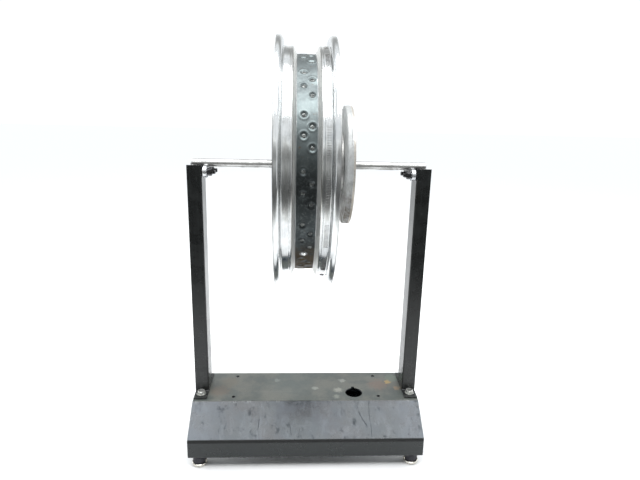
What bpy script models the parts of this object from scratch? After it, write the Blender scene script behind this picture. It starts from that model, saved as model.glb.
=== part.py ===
"""Motorcycle wheel truing stand with a bare 16-inch spoked rim, its hub and a brake drum on the arbor.

Metres, +Z up, +Y towards the back. The origin is on the floor, under the middle of the stand, and the arbor
lies along X. Every turned piece is made about its own X axis, and its object then places and turns it.
"""

from math import acos, atan2, cos, pi, radians, sin, sqrt, tan

import bmesh
import bpy
from mathutils import Matrix, Vector

# Fits
GAP = 0.0003  # kept between pieces that touch
STEEL = 0.0025  # sheet thickness of the base and the uprights
BEND_RADIUS = 0.005  # outside of a bend in that sheet
BEND_STEPS = 3
CUT_MARGIN = 0.004  # how far a cutter runs past what it cuts

# Base
BASE_HALF_LENGTH = 0.221
TOP_HALF_DEPTH = 0.0529
BASE_HALF_DEPTH = 0.1153
FOOT_HEIGHT = 0.020
LIP_HEIGHT = 0.038
SLOPE_DROP = 0.045
RETURN_WIDTH = 0.032  # of the flange folded in under each lip
LIP_TOP_Z = FOOT_HEIGHT + LIP_HEIGHT
TOP_Z = LIP_TOP_Z + SLOPE_DROP
SPARE_HOLE_RADIUS = 0.0035
SPARE_HOLE_X = 0.1435
SPARE_HOLE_Y = 0.039
CABLE_HOLE_RADIUS = 0.017
CABLE_HOLE_AT = (0.0956, -0.0255)
CABLE_NOTCH_HALF_WIDTH = 0.003
CABLE_NOTCH_DEPTH = 0.005

# Uprights
UPRIGHT_HEIGHT = 0.451
UPRIGHT_INNER_X = 0.1942
UPRIGHT_OUTER_X = 0.2206
UPRIGHT_HALF_DEPTH = 0.0212
UPRIGHT_TOP_Z = TOP_Z + UPRIGHT_HEIGHT
UPRIGHT_BEND = 0.0032  # tighter than the base's, to leave room for the bolt heads inside the channel
TAB_REACH_Y = 0.048  # front edge of a foot tab
TAB_INSET = 0.0004  # the tab is this much narrower than the channel on each side
TAB_BEND = 0.0025
TAB_BOLT_X = 0.5 * (UPRIGHT_INNER_X + UPRIGHT_OUTER_X)
TAB_BOLT_Y = 0.0325

# Fasteners of 8 mm thread
BOLT_RADIUS = 0.004
BOLT_HOLE_RADIUS = BOLT_RADIUS + GAP
HEX_ACROSS_FLATS = 0.013
HEAD_HEIGHT = 0.0053
NUT_HEIGHT = 0.0065
LOCK_NUT_HEIGHT = 0.008
WASHER_RADIUS = 0.0092
WASHER_THICKNESS = 0.0016
TAB_BOLT_LENGTH = 0.0155

# Rollers: ball bearings of 8 x 22 x 7 mm under the arbor
ARBOR_RADIUS = 0.0075
ARBOR_HALF_LENGTH = 0.214
ARBOR_CHAMFER = 0.001
ARBOR_Z = 0.5565
ROLLER_RADIUS = 0.011
ROLLER_WIDTH = 0.007
ROLLER_Y = 0.0116
ROLLER_Z = ARBOR_Z - sqrt((ARBOR_RADIUS + ROLLER_RADIUS + GAP) ** 2 - ROLLER_Y**2)
INNER_RING_RADIUS = 0.006
SHIELD_RADIUS = INNER_RING_RADIUS + GAP
SHIELD_RECESS = 0.0006
RACE_RADIUS = 0.0092  # where the outer ring's side face meets its shield
SPACER_THICKNESS = 0.0012
SPACER_RADIUS = 0.0058
NUT_COLLAR_HEIGHT = 0.0015
BOLT_PROTRUDES = 0.006
ARBOR_NOTCH_RADIUS = 0.009

# Feet
FOOT_X = 0.202
FOOT_Y = 0.1003
GLIDE_RADIUS = 0.014
GLIDE_HEIGHT = 0.006
STUD_RADIUS = 0.005
STUD_TOP_Z = 0.055
FOOT_COLLAR_RADIUS = 0.012
JAM_NUT_ACROSS_FLATS = 0.017
JAM_NUT_HEIGHT = 0.006

# Rim: 16-inch drop-centre, measured from its mid plane
RIM_X = -0.0115
RIM_WALL = 0.003
FLANGE_RADIUS = 0.2202
BEAD_RADIUS = 0.2028
WELL_RADIUS = 0.190
BEAD_HALF_WIDTH = 0.0381
RIM_HALF_WIDTH = 0.04925
FLANGE_ROLL = 0.008
WELL_MID_X = 0.0007
WELL_HALF_WIDTH = 0.016
WELL_SLOPE = 0.0055
VALVE_HOLE_RADIUS = 0.0042
VALVE_ANGLE = radians(-43.5)
VALVE_X = -0.001

# Spokes: groups of four nipples, which alternate between the hub's two flanges
SPOKE_GROUPS = 14
GROUP_START = radians(-4.9)  # middle of one group, above the horizontal at the front
GROUP_OUTER = radians(7.65)
GROUP_INNER = radians(2.1)
SPOKE_LEAD = radians(25)  # from a nipple to its spoke's hole in the hub flange
SPOKE_RADIUS = 0.002
NIPPLE_RADIUS = 0.0032
NIPPLE_LENGTH = 0.014
NIPPLE_END_RADIUS = 0.1858
LEFT_NIPPLES_X = -0.0043
RIGHT_NIPPLES_X = 0.0084
LEFT_SPOKE_CIRCLE = 0.040
RIGHT_SPOKE_CIRCLE = 0.055

# Hub, from the rim's mid plane
HUB_LEFT_X = -0.036
HUB_RIGHT_X = 0.073
HUB_FLANGE_WIDTH = 0.005
LEFT_FLANGE_X = -0.0325
LEFT_FLANGE_RADIUS = 0.045
RIGHT_FLANGE_X = 0.042
RIGHT_FLANGE_RADIUS = 0.060
HUB_BARREL_RADIUS = 0.028
HUB_NOSE_RADIUS = 0.027
HUB_BORE_RADIUS = 0.012
HUB_SEAT_RADIUS = 0.020
HUB_SEAT_DEPTH = 0.015
HUB_SPIGOT_RADIUS = 0.022

# Brake drum, from the rim's mid plane
DRUM_LEFT_X = 0.069
DRUM_RIGHT_X = 0.0835
DRUM_RADIUS = 0.1065
DRUM_WALL = 0.010
DRUM_WEB = 0.005
DRUM_CHAMFER = 0.002

# Cones and lock collars
CONE_SMALL_RADIUS = 0.013
CONE_LENGTH = 0.022
CONE_SLOPE = 0.5
CONE_RIM_LENGTH = 0.002
ARBOR_BORE_RADIUS = ARBOR_RADIUS + GAP
LOCK_COLLAR_RADIUS = 0.014
LOCK_COLLAR_WIDTH = 0.008
SET_SCREW_RADIUS = 0.0025
SET_SCREW_SOCKET_ACROSS = 0.0025
SET_SCREW_SOCKET_DEPTH = 0.002

# Sides of the turned pieces: those with a hexagon take a multiple of 6, which keeps its corners
FINE_SIDES = 48
MEDIUM_SIDES = 24
SMALL_SIDES = 12
SPOKE_SIDES = 5

# Finishes: linear colour, roughness, metallic value
BLACK_PAINT = ((0.020, 0.022, 0.023), 0.38, 0.0)
BASE_PAINT = ((0.060, 0.066, 0.070), 0.45, 0.0)
POLISHED_STEEL = ((0.62, 0.62, 0.61), 0.18, 1.0)
ZINC_PLATE = ((0.55, 0.55, 0.52), 0.32, 1.0)
BLACK_OXIDE = ((0.035, 0.035, 0.037), 0.42, 0.9)
BEARING_STEEL = ((0.68, 0.69, 0.70), 0.20, 1.0)
NICKEL = ((0.70, 0.68, 0.62), 0.16, 1.0)
BLACK_RUBBER = ((0.018, 0.018, 0.022), 0.65, 0.0)
RIM_CHROME = ((0.66, 0.67, 0.68), 0.14, 1.0)
CAST_IRON = ((0.26, 0.26, 0.26), 0.55, 0.8)
CAST_ALUMINIUM = ((0.50, 0.50, 0.49), 0.45, 0.9)

LEFT, RIGHT = -1, 1
FRONT, BACK = -1, 1
SIDE_NAMES = {LEFT: "left", RIGHT: "right"}
DEPTH_NAMES = {FRONT: "front", BACK: "back"}
CORNERS = [(side, depth) for side in (LEFT, RIGHT) for depth in (FRONT, BACK)]
UPWARDS = (0, -pi / 2, 0)  # turns a piece's own X axis to world +Z


def corner_name(side, depth):
    return f"{SIDE_NAMES[side]}_{DEPTH_NAMES[depth]}"


def inwards(side):
    """Points a piece's own X axis from this side of the stand towards the wheel, with a hexagon's flats at Y."""
    return (pi / 6, 0, 0 if side == LEFT else pi)


# ---------------------------------------------------------------- objects


def clear_scene():
    for obj in list(bpy.data.objects):
        bpy.data.objects.remove(obj, do_unlink=True)


def new_material(name, finish):
    colour, roughness, metallic = finish
    material = bpy.data.materials.new(name)
    material.use_nodes = True
    shader = material.node_tree.nodes["Principled BSDF"]
    shader.inputs["Base Color"].default_value = (*colour, 1)
    shader.inputs["Roughness"].default_value = roughness
    shader.inputs["Metallic"].default_value = metallic
    material.diffuse_color = (*colour, 1)
    return material


def add_object(name, shape, location=(0, 0, 0), rotation=(0, 0, 0), parent=None):
    """Turns a bmesh into an object of the scene, with its faces pointing out."""
    bmesh.ops.recalc_face_normals(shape, faces=shape.faces)
    mesh = bpy.data.meshes.new(name)
    shape.to_mesh(mesh)
    shape.free()
    obj = bpy.data.objects.new(name, mesh)
    bpy.context.scene.collection.objects.link(obj)
    obj.location = location
    obj.rotation_euler = rotation
    obj.parent = parent
    return obj


def add_part(name, shape, finish, location=(0, 0, 0), rotation=(0, 0, 0), parent=None):
    obj = add_object(name, shape, location, rotation, parent)
    obj.data.materials.append(new_material(name, finish))
    obj.data.shade_smooth()
    obj.data.set_sharp_from_angle(angle=radians(35))
    return obj


def add_axis(name, location, parent=None):
    """An empty on a joint's axis, which carries the pieces that move with it."""
    empty = bpy.data.objects.new(name, None)
    bpy.context.scene.collection.objects.link(empty)
    empty.location = location
    empty.parent = parent
    return empty


def combine(obj, operation, shape):
    """Joins the shape to the object or cuts it away, in the object's own coordinates."""
    helper = add_object(f"{obj.name}_{operation.lower()}", shape, parent=obj)
    helper.hide_render = True
    helper.display_type = "WIRE"
    boolean = obj.modifiers.new(operation.title(), "BOOLEAN")
    boolean.operation = operation
    boolean.object = helper


# ---------------------------------------------------------------- outlines


def arc(centre, radius, start, end, steps):
    """Points of an arc about a centre, from one angle to another, both ends included."""
    angles = [start + (end - start) * step / steps for step in range(steps + 1)]
    return [(centre[0] + radius * cos(a), centre[1] + radius * sin(a)) for a in angles]


def folded_outline(corners, radius, thickness):
    """The closed outline of a sheet whose outside face follows the corners, every bend turning clockwise."""
    corners = [Vector(corner) for corner in corners]
    legs = [(b - a).normalized() for a, b in zip(corners, corners[1:])]
    normals = [Vector((leg.y, -leg.x)) for leg in legs]
    outside, inside = [corners[0]], [corners[0] + thickness * normals[0]]
    for corner, before, after in zip(corners[1:], legs, legs[1:]):
        turn = acos(before.dot(after))
        inward = Vector((before.y, -before.x))
        centre = corner - before * radius * tan(turn / 2) + inward * radius
        start = atan2(-inward.y, -inward.x)
        for wall, reach in ((outside, radius), (inside, radius - thickness)):
            wall.extend(Vector(p) for p in arc(centre, reach, start, start - turn, BEND_STEPS))
    outside.append(corners[-1])
    inside.append(corners[-1] + thickness * normals[-1])
    return outside + inside[::-1]


def hexagon(across_flats, chamfer=1.0):
    """Radius of a hexagon at an angle, kept inside a circle that chamfers its corners when chamfer is below 1."""
    corner = across_flats / sqrt(3)

    def radius(angle):
        flat = across_flats / 2 / cos(angle % (pi / 3) - pi / 6)
        return min(flat, across_flats / 2 + chamfer * (corner - across_flats / 2))

    return radius


# ---------------------------------------------------------------- solids


def add_prism(shape, outline, depth, placed=Matrix.Identity(4)):
    """Extrudes an outline in the XY plane along Z, then places it."""
    face = shape.faces.new([shape.verts.new((*point, 0)) for point in outline])
    grown = bmesh.ops.extrude_face_region(shape, geom=[face])["geom"]
    top = [item for item in grown if isinstance(item, bmesh.types.BMVert)]
    bmesh.ops.translate(shape, verts=top, vec=(0, 0, depth))
    bmesh.ops.transform(shape, matrix=placed, verts=list(face.verts) + top)


def add_turned(shape, section, sides, placed=Matrix.Identity(4)):
    """Turns an outline of (x, radius) points about X. A radius of 0 is one point, and a function is a hexagon."""
    rings = []
    for x, radius in section:
        if radius == 0:
            rings.append([shape.verts.new(placed @ Vector((x, 0, 0)))])
            continue
        ring = []
        for side in range(sides):
            angle = 2 * pi * side / sides
            reach = radius(angle) if callable(radius) else radius
            ring.append(shape.verts.new(placed @ Vector((x, reach * cos(angle), reach * sin(angle)))))
        rings.append(ring)
    solid_core = len(rings[0]) == 1
    for ring, following in zip(rings, rings[1:] + ([] if solid_core else rings[:1])):
        for side in range(sides):
            after = (side + 1) % sides
            if len(ring) == 1:
                corners = [ring[0], following[side], following[after]]
            elif len(following) == 1:
                corners = [ring[side], following[0], ring[after]]
            else:
                corners = [ring[side], following[side], following[after], ring[after]]
            shape.faces.new(corners)


def turned(section, sides):
    shape = bmesh.new()
    add_turned(shape, section, sides)
    return shape


def add_drill(shape, centre, radius, length, sides=SMALL_SIDES, along="Z"):
    """A cylinder that cuts a round hole, centred at a point."""
    turn = Matrix.Rotation(-pi / 2, 4, "Y") if along == "Z" else Matrix.Identity(4)
    section = [(-length / 2, 0), (-length / 2, radius), (length / 2, radius), (length / 2, 0)]
    add_turned(shape, section, sides, Matrix.Translation(centre) @ turn)


def washer(inner, outer, thickness, sides=SMALL_SIDES):
    return turned([(0, inner), (0, outer), (thickness, outer), (thickness, inner)], sides)


def nut(bore, across_flats, height):
    flats = hexagon(across_flats)
    return turned([(0, bore), (0, flats), (height, flats), (height, bore)], SMALL_SIDES)


def bolt(length):
    """A hexagon-headed bolt whose seat is at x = 0, with its head on the negative side."""
    edge = 0.12 * HEAD_HEIGHT
    section = [(-HEAD_HEIGHT, 0), (-HEAD_HEIGHT, hexagon(HEX_ACROSS_FLATS, 0.3))]
    section += [(edge - HEAD_HEIGHT, hexagon(HEX_ACROSS_FLATS)), (0, hexagon(HEX_ACROSS_FLATS))]
    section += [(0, BOLT_RADIUS), (length, BOLT_RADIUS), (length, 0)]
    return turned(section, SMALL_SIDES)


# ---------------------------------------------------------------- base and feet


def base_outline():
    """The base's section, as (y, z) points: return flange, lip, slope, top, slope, lip, return flange."""
    half = [
        (BASE_HALF_DEPTH - RETURN_WIDTH, FOOT_HEIGHT),
        (BASE_HALF_DEPTH, FOOT_HEIGHT),
        (BASE_HALF_DEPTH, LIP_TOP_Z),
        (TOP_HALF_DEPTH, TOP_Z),
    ]
    front = [(-y, z) for y, z in half]
    return folded_outline(front + half[::-1], BEND_RADIUS, STEEL)


def cable_hole_outline():
    """A round hole with a small square notch at its back."""
    reach = atan2(CABLE_NOTCH_HALF_WIDTH, CABLE_HOLE_RADIUS)
    back = CABLE_HOLE_RADIUS + CABLE_NOTCH_DEPTH
    points = arc((0, 0), CABLE_HOLE_RADIUS, pi / 2 + reach, pi / 2 - reach + 2 * pi, MEDIUM_SIDES)
    return points + [(CABLE_NOTCH_HALF_WIDTH, back), (-CABLE_NOTCH_HALF_WIDTH, back)]


def base_holes():
    shape = bmesh.new()
    depth = STEEL + 2 * CUT_MARGIN
    for side, front in CORNERS:
        above = TOP_Z - STEEL / 2
        add_drill(shape, (side * TAB_BOLT_X, front * TAB_BOLT_Y, above), BOLT_HOLE_RADIUS, depth)
        spare = (side * SPARE_HOLE_X, front * SPARE_HOLE_Y, above)
        add_drill(shape, spare, SPARE_HOLE_RADIUS, depth)
        stud = (side * FOOT_X, front * FOOT_Y, FOOT_HEIGHT + STEEL / 2)
        add_drill(shape, stud, STUD_RADIUS + GAP, depth)
    start = Matrix.Translation((*CABLE_HOLE_AT, TOP_Z - STEEL - CUT_MARGIN))
    add_prism(shape, cable_hole_outline(), depth, start)
    return shape


def build_base():
    shape = bmesh.new()
    # The outline's axes become world Y and Z, and it is extruded along X.
    along_x = Matrix(((0, 0, 1, -BASE_HALF_LENGTH), (1, 0, 0, 0), (0, 1, 0, 0), (0, 0, 0, 1)))
    add_prism(shape, base_outline(), 2 * BASE_HALF_LENGTH, along_x)
    base = add_part("base_plate", shape, BASE_PAINT)
    combine(base, "DIFFERENCE", base_holes())


def glide_section():
    """A levelling glide: a pressed disc with a rounded underside, and the stud riveted in it."""
    edge = 0.0025
    rounded = arc((edge, GLIDE_RADIUS - edge), edge, pi, pi / 2, 2)
    stud = [(GLIDE_HEIGHT, STUD_RADIUS), (STUD_TOP_Z, STUD_RADIUS), (STUD_TOP_Z, 0)]
    return [(0, 0)] + rounded + [(GLIDE_HEIGHT, GLIDE_RADIUS)] + stud


def build_foot(side, front):
    name = corner_name(side, front)
    axis = add_axis(f"foot_axis_{name}", (side * FOOT_X, front * FOOT_Y, 0))
    glide = turned(glide_section(), MEDIUM_SIDES)
    add_part(f"foot_glide_{name}", glide, NICKEL, rotation=UPWARDS, parent=axis)
    height = FOOT_HEIGHT - GLIDE_HEIGHT - 2 * GAP
    collar = washer(STUD_RADIUS + GAP, FOOT_COLLAR_RADIUS, height, MEDIUM_SIDES)
    above_glide = (0, 0, GLIDE_HEIGHT + GAP)
    add_part(f"foot_collar_{name}", collar, BLACK_RUBBER, above_glide, UPWARDS, axis)
    jam_nut = nut(STUD_RADIUS + GAP, JAM_NUT_ACROSS_FLATS, JAM_NUT_HEIGHT)
    on_flange = (side * FOOT_X, front * FOOT_Y, FOOT_HEIGHT + STEEL + GAP)
    add_part(f"foot_jam_nut_{name}", jam_nut, ZINC_PLATE, on_flange, UPWARDS)


# ---------------------------------------------------------------- uprights


def channel():
    """The left upright's channel, its web towards the wheel, standing on its own Z axis."""
    shape = bmesh.new()
    inner, outer, half = UPRIGHT_INNER_X, UPRIGHT_OUTER_X, UPRIGHT_HALF_DEPTH
    section = [(-outer, half), (-inner, half), (-inner, -half), (-outer, -half)]
    # The web stops above the base, clear of the bend in each foot tab.
    web_bottom = TOP_Z + 2 * GAP + 0.001
    placed = Matrix.Translation((0, 0, web_bottom))
    add_prism(shape, folded_outline(section, UPRIGHT_BEND, STEEL), UPRIGHT_TOP_Z - web_bottom, placed)
    return shape


def tabs():
    """The two foot tabs, bent forward and back from the flanges, with the bend's inside fillet."""
    shape = bmesh.new()
    bottom = TOP_Z + GAP
    top = bottom + STEEL
    face = UPRIGHT_HALF_DEPTH
    fillet = arc((face + TAB_BEND, top + TAB_BEND), TAB_BEND, 1.5 * pi, pi, BEND_STEPS)
    buried = face - STEEL / 2
    outline = [(TAB_REACH_Y, bottom), (TAB_REACH_Y, top)] + fillet[:-1]
    outline += [(face - TAB_INSET, top + TAB_BEND), (buried, top + TAB_BEND), (buried, bottom)]
    width = UPRIGHT_OUTER_X - UPRIGHT_INNER_X - 2 * TAB_INSET
    start = -UPRIGHT_OUTER_X + TAB_INSET
    for front in (FRONT, BACK):
        placed = Matrix(((0, 0, 1, start), (front, 0, 0, 0), (0, 1, 0, 0), (0, 0, 0, 1)))
        add_prism(shape, outline, width, placed)
    return shape


def upright_holes():
    """The notch that clears the arbor, the two roller bolts' holes and the two tab bolts' holes."""
    shape = bmesh.new()
    web = -UPRIGHT_INNER_X - STEEL / 2
    depth = STEEL + 2 * CUT_MARGIN
    add_drill(shape, (web, 0, ARBOR_Z), ARBOR_NOTCH_RADIUS, depth, MEDIUM_SIDES, along="X")
    for front in (FRONT, BACK):
        bolt_hole = (web, front * ROLLER_Y, ROLLER_Z)
        add_drill(shape, bolt_hole, BOLT_HOLE_RADIUS, depth, along="X")
        tab = (-TAB_BOLT_X, front * TAB_BOLT_Y, TOP_Z + GAP + STEEL / 2)
        add_drill(shape, tab, BOLT_HOLE_RADIUS, depth)
    return shape


def build_upright(side):
    turn = (0, 0, 0 if side == LEFT else pi)
    upright = add_part(f"upright_{SIDE_NAMES[side]}", channel(), BLACK_PAINT, rotation=turn)
    combine(upright, "UNION", tabs())
    combine(upright, "DIFFERENCE", upright_holes())


def build_tab_fasteners(side, front):
    """The bolt, washer and nut that hold one foot tab to the base's top."""
    name = corner_name(side, front)
    x, y = side * TAB_BOLT_X, front * TAB_BOLT_Y
    washer_z = TOP_Z + STEEL + 2 * GAP
    ring = washer(BOLT_HOLE_RADIUS, WASHER_RADIUS, WASHER_THICKNESS)
    add_part(f"tab_washer_{name}", ring, ZINC_PLATE, (x, y, washer_z), UPWARDS)
    seat_z = washer_z + WASHER_THICKNESS + GAP
    downwards = (0, pi / 2, 0)
    add_part(f"tab_bolt_{name}", bolt(TAB_BOLT_LENGTH), ZINC_PLATE, (x, y, seat_z), downwards)
    nut_z = TOP_Z - STEEL - GAP - NUT_HEIGHT
    hex_nut = nut(BOLT_HOLE_RADIUS, HEX_ACROSS_FLATS, NUT_HEIGHT)
    add_part(f"tab_nut_{name}", hex_nut, ZINC_PLATE, (x, y, nut_z), UPWARDS)


# ---------------------------------------------------------------- rollers


def lock_nut():
    """A locking nut with a round collar that bears on the bearing's inner ring alone."""
    flats = hexagon(HEX_ACROSS_FLATS)
    section = [(0, BOLT_HOLE_RADIUS), (0, SPACER_RADIUS), (NUT_COLLAR_HEIGHT, SPACER_RADIUS)]
    section += [(NUT_COLLAR_HEIGHT, flats), (LOCK_NUT_HEIGHT, flats), (LOCK_NUT_HEIGHT, BOLT_HOLE_RADIUS)]
    return turned(section, SMALL_SIDES)


def outer_ring():
    """A bearing's outer ring with its two shields, which turn with it, as one solid."""
    recessed = ROLLER_WIDTH - SHIELD_RECESS
    section = [(SHIELD_RECESS, SHIELD_RADIUS), (SHIELD_RECESS, RACE_RADIUS), (0, RACE_RADIUS)]
    section += [(0, ROLLER_RADIUS), (ROLLER_WIDTH, ROLLER_RADIUS), (ROLLER_WIDTH, RACE_RADIUS)]
    section += [(recessed, RACE_RADIUS), (recessed, SHIELD_RADIUS)]
    return turned(section, MEDIUM_SIDES)


def build_roller(side, front):
    """One roller's stack along its bolt: head, web, spacer, bearing, lock nut, bolt end."""
    name = corner_name(side, front)
    turn = inwards(side)

    def at(depth):
        """A point on the bolt's axis, this far in from the web's inner face."""
        return (side * (UPRIGHT_INNER_X - depth), front * ROLLER_Y, ROLLER_Z)

    spacer_at = GAP
    bearing_at = spacer_at + SPACER_THICKNESS + GAP
    nut_at = bearing_at + ROLLER_WIDTH + GAP
    bolt_end = nut_at + LOCK_NUT_HEIGHT + BOLT_PROTRUDES
    head_at = -STEEL - GAP
    add_part(f"roller_bolt_{name}", bolt(bolt_end - head_at), BLACK_OXIDE, at(head_at), turn)
    spacer = washer(BOLT_HOLE_RADIUS, SPACER_RADIUS, SPACER_THICKNESS)
    add_part(f"roller_spacer_{name}", spacer, ZINC_PLATE, at(spacer_at), turn)
    inner_ring = washer(BOLT_HOLE_RADIUS, INNER_RING_RADIUS, ROLLER_WIDTH)
    add_part(f"roller_inner_ring_{name}", inner_ring, BEARING_STEEL, at(bearing_at), turn)
    add_part(f"roller_nut_{name}", lock_nut(), BLACK_OXIDE, at(nut_at), turn)
    axis = add_axis(f"roller_axis_{name}", at(bearing_at))
    add_part(f"roller_outer_ring_{name}", outer_ring(), BEARING_STEEL, rotation=turn, parent=axis)


# ---------------------------------------------------------------- rim and spokes


def rim_half(side, lift):
    """One half's (x, radius) points from the well out to the flange's lip, on the tyre side or lifted inwards."""
    bead, roll = BEAD_RADIUS - lift, FLANGE_ROLL - lift
    wall = BEAD_HALF_WIDTH + lift
    fillet = 0.002 + lift
    crown = (BEAD_HALF_WIDTH + FLANGE_ROLL, FLANGE_RADIUS - FLANGE_ROLL)
    lip_angle = acos((RIM_HALF_WIDTH - crown[0]) / FLANGE_ROLL)
    well = side * WELL_MID_X + WELL_HALF_WIDTH
    # A sloping wall is offset square to itself, so its ends move along X as well as inwards.
    slope_angle = atan2(BEAD_RADIUS - WELL_RADIUS, WELL_SLOPE)
    shift = lift * tan(slope_angle / 2)
    points = [(well + shift, WELL_RADIUS - lift), (well + WELL_SLOPE + shift, bead)]
    points += arc((wall - fillet, bead + fillet), fillet, 1.5 * pi, 2 * pi, 1)
    points += arc(crown, roll, pi, lip_angle, 4 if lift == 0 else 2)
    return [(side * x, radius) for x, radius in points]


def rim_section():
    outside = rim_half(LEFT, 0)[::-1] + rim_half(RIGHT, 0)
    inside = rim_half(LEFT, RIM_WALL)[::-1] + rim_half(RIGHT, RIM_WALL)
    return outside + inside[::-1]


def around(angle):
    """The rotation about the arbor that takes +Y of a turned piece to an angle above the horizontal front."""
    return Matrix.Rotation(pi - angle, 4, "X")


def build_rim(wheel):
    rim = add_part("rim", turned(rim_section(), FINE_SIDES), RIM_CHROME, (RIM_X, 0, 0), parent=wheel)
    hole = bmesh.new()
    radial = around(VALVE_ANGLE) @ Matrix.Translation((VALVE_X, WELL_RADIUS, 0)) @ Matrix.Rotation(pi / 2, 4, "Z")
    half = RIM_WALL + CUT_MARGIN
    section = [(-half, 0), (-half, VALVE_HOLE_RADIUS), (half, VALVE_HOLE_RADIUS), (half, 0)]
    add_turned(hole, section, SMALL_SIDES, radial)
    combine(rim, "DIFFERENCE", hole)


def nipple_angles(side):
    """Each group's two nipples of one side, as (angle, direction in which its spoke leans)."""
    for group in range(SPOKE_GROUPS):
        middle = GROUP_START + 2 * pi * group / SPOKE_GROUPS
        if side == LEFT:
            yield middle + GROUP_OUTER, 1
            yield middle - GROUP_INNER, -1
        else:
            yield middle + GROUP_INNER, 1
            yield middle - GROUP_OUTER, -1


def add_spoke(shape, side, angle, lean):
    """A straight spoke from the inner face of its hub flange to its nipple, just inside the well."""
    if side == LEFT:
        hub_x = LEFT_FLANGE_X + HUB_FLANGE_WIDTH + SPOKE_RADIUS + GAP
        hub_radius, rim_x = LEFT_SPOKE_CIRCLE, LEFT_NIPPLES_X
    else:
        hub_x = RIGHT_FLANGE_X - SPOKE_RADIUS - GAP
        hub_radius, rim_x = RIGHT_SPOKE_CIRCLE, RIGHT_NIPPLES_X
    start = around(angle + lean * SPOKE_LEAD) @ Vector((hub_x, hub_radius, 0))
    end = around(angle) @ Vector((rim_x, NIPPLE_END_RADIUS, 0))
    length = (end - start).length
    seat = length - NIPPLE_LENGTH
    section = [(0, 0), (0, SPOKE_RADIUS), (seat, SPOKE_RADIUS)]
    section += [(seat, NIPPLE_RADIUS), (length, NIPPLE_RADIUS), (length, 0)]
    turn = Vector((1, 0, 0)).rotation_difference(end - start).to_matrix().to_4x4()
    add_turned(shape, section, SPOKE_SIDES, Matrix.Translation(start) @ turn)


def build_spokes(side, wheel):
    """One side's spokes, joined where they cross: those that lean one way, and those that lean the other."""
    leaning = {1: bmesh.new(), -1: bmesh.new()}
    for angle, lean in nipple_angles(side):
        add_spoke(leaning[lean], side, angle, lean)
    name = f"spokes_{SIDE_NAMES[side]}"
    spokes = add_part(name, leaning[1], ZINC_PLATE, (RIM_X, 0, 0), parent=wheel)
    combine(spokes, "UNION", leaning[-1])


# ---------------------------------------------------------------- hub, drum, cones, arbor


def hub_section():
    left_flange_end = LEFT_FLANGE_X + HUB_FLANGE_WIDTH
    right_flange_end = RIGHT_FLANGE_X + HUB_FLANGE_WIDTH
    drum_seat = DRUM_LEFT_X - GAP
    outside = [
        (HUB_LEFT_X, HUB_NOSE_RADIUS),
        (LEFT_FLANGE_X, HUB_NOSE_RADIUS),
        (LEFT_FLANGE_X, LEFT_FLANGE_RADIUS),
        (left_flange_end, LEFT_FLANGE_RADIUS),
        (left_flange_end, HUB_BARREL_RADIUS),
        (RIGHT_FLANGE_X, HUB_BARREL_RADIUS),
        (RIGHT_FLANGE_X, RIGHT_FLANGE_RADIUS),
        (right_flange_end, RIGHT_FLANGE_RADIUS),
        (right_flange_end, 1.2 * HUB_BARREL_RADIUS),
        (drum_seat - HUB_FLANGE_WIDTH, 1.2 * HUB_BARREL_RADIUS),
        (drum_seat - HUB_FLANGE_WIDTH, RIGHT_FLANGE_RADIUS),
        (drum_seat, RIGHT_FLANGE_RADIUS),
        (drum_seat, HUB_SPIGOT_RADIUS),
        (HUB_RIGHT_X, HUB_SPIGOT_RADIUS),
    ]
    bore = [
        (HUB_RIGHT_X, HUB_SEAT_RADIUS),
        (HUB_RIGHT_X - HUB_SEAT_DEPTH, HUB_SEAT_RADIUS),
        (HUB_RIGHT_X - HUB_SEAT_DEPTH, HUB_BORE_RADIUS),
        (HUB_LEFT_X + HUB_SEAT_DEPTH, HUB_BORE_RADIUS),
        (HUB_LEFT_X + HUB_SEAT_DEPTH, HUB_SEAT_RADIUS),
        (HUB_LEFT_X, HUB_SEAT_RADIUS),
    ]
    return outside + bore


def drum_section():
    """A shallow drum, open to the right, whose web is bolted to the hub's right end."""
    inner = DRUM_RADIUS - DRUM_WALL
    web_right = DRUM_LEFT_X + DRUM_WEB
    bore = HUB_SPIGOT_RADIUS + GAP
    return [
        (DRUM_LEFT_X, bore),
        (DRUM_LEFT_X, DRUM_RADIUS - DRUM_CHAMFER / 2),
        (DRUM_LEFT_X + DRUM_CHAMFER / 2, DRUM_RADIUS),
        (DRUM_RIGHT_X - DRUM_CHAMFER, DRUM_RADIUS),
        (DRUM_RIGHT_X, DRUM_RADIUS - DRUM_CHAMFER),
        (DRUM_RIGHT_X, inner),
        (web_right, inner),
        (web_right, bore),
    ]


def build_hub_and_drum(wheel):
    place = (RIM_X, 0, 0)
    add_part("hub_shell", turned(hub_section(), MEDIUM_SIDES), CAST_ALUMINIUM, place, parent=wheel)
    add_part("brake_drum", turned(drum_section(), FINE_SIDES), CAST_IRON, place, parent=wheel)


def cone_section():
    """A centring cone with its narrow end at x = 0 and its broad end at x = CONE_LENGTH."""
    slope_end = CONE_LENGTH - CONE_RIM_LENGTH
    broad = CONE_SMALL_RADIUS + CONE_SLOPE * slope_end
    outside = [(0, CONE_SMALL_RADIUS), (slope_end, broad), (CONE_LENGTH, broad)]
    return [(0, ARBOR_BORE_RADIUS)] + outside + [(CONE_LENGTH, ARBOR_BORE_RADIUS)]


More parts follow.
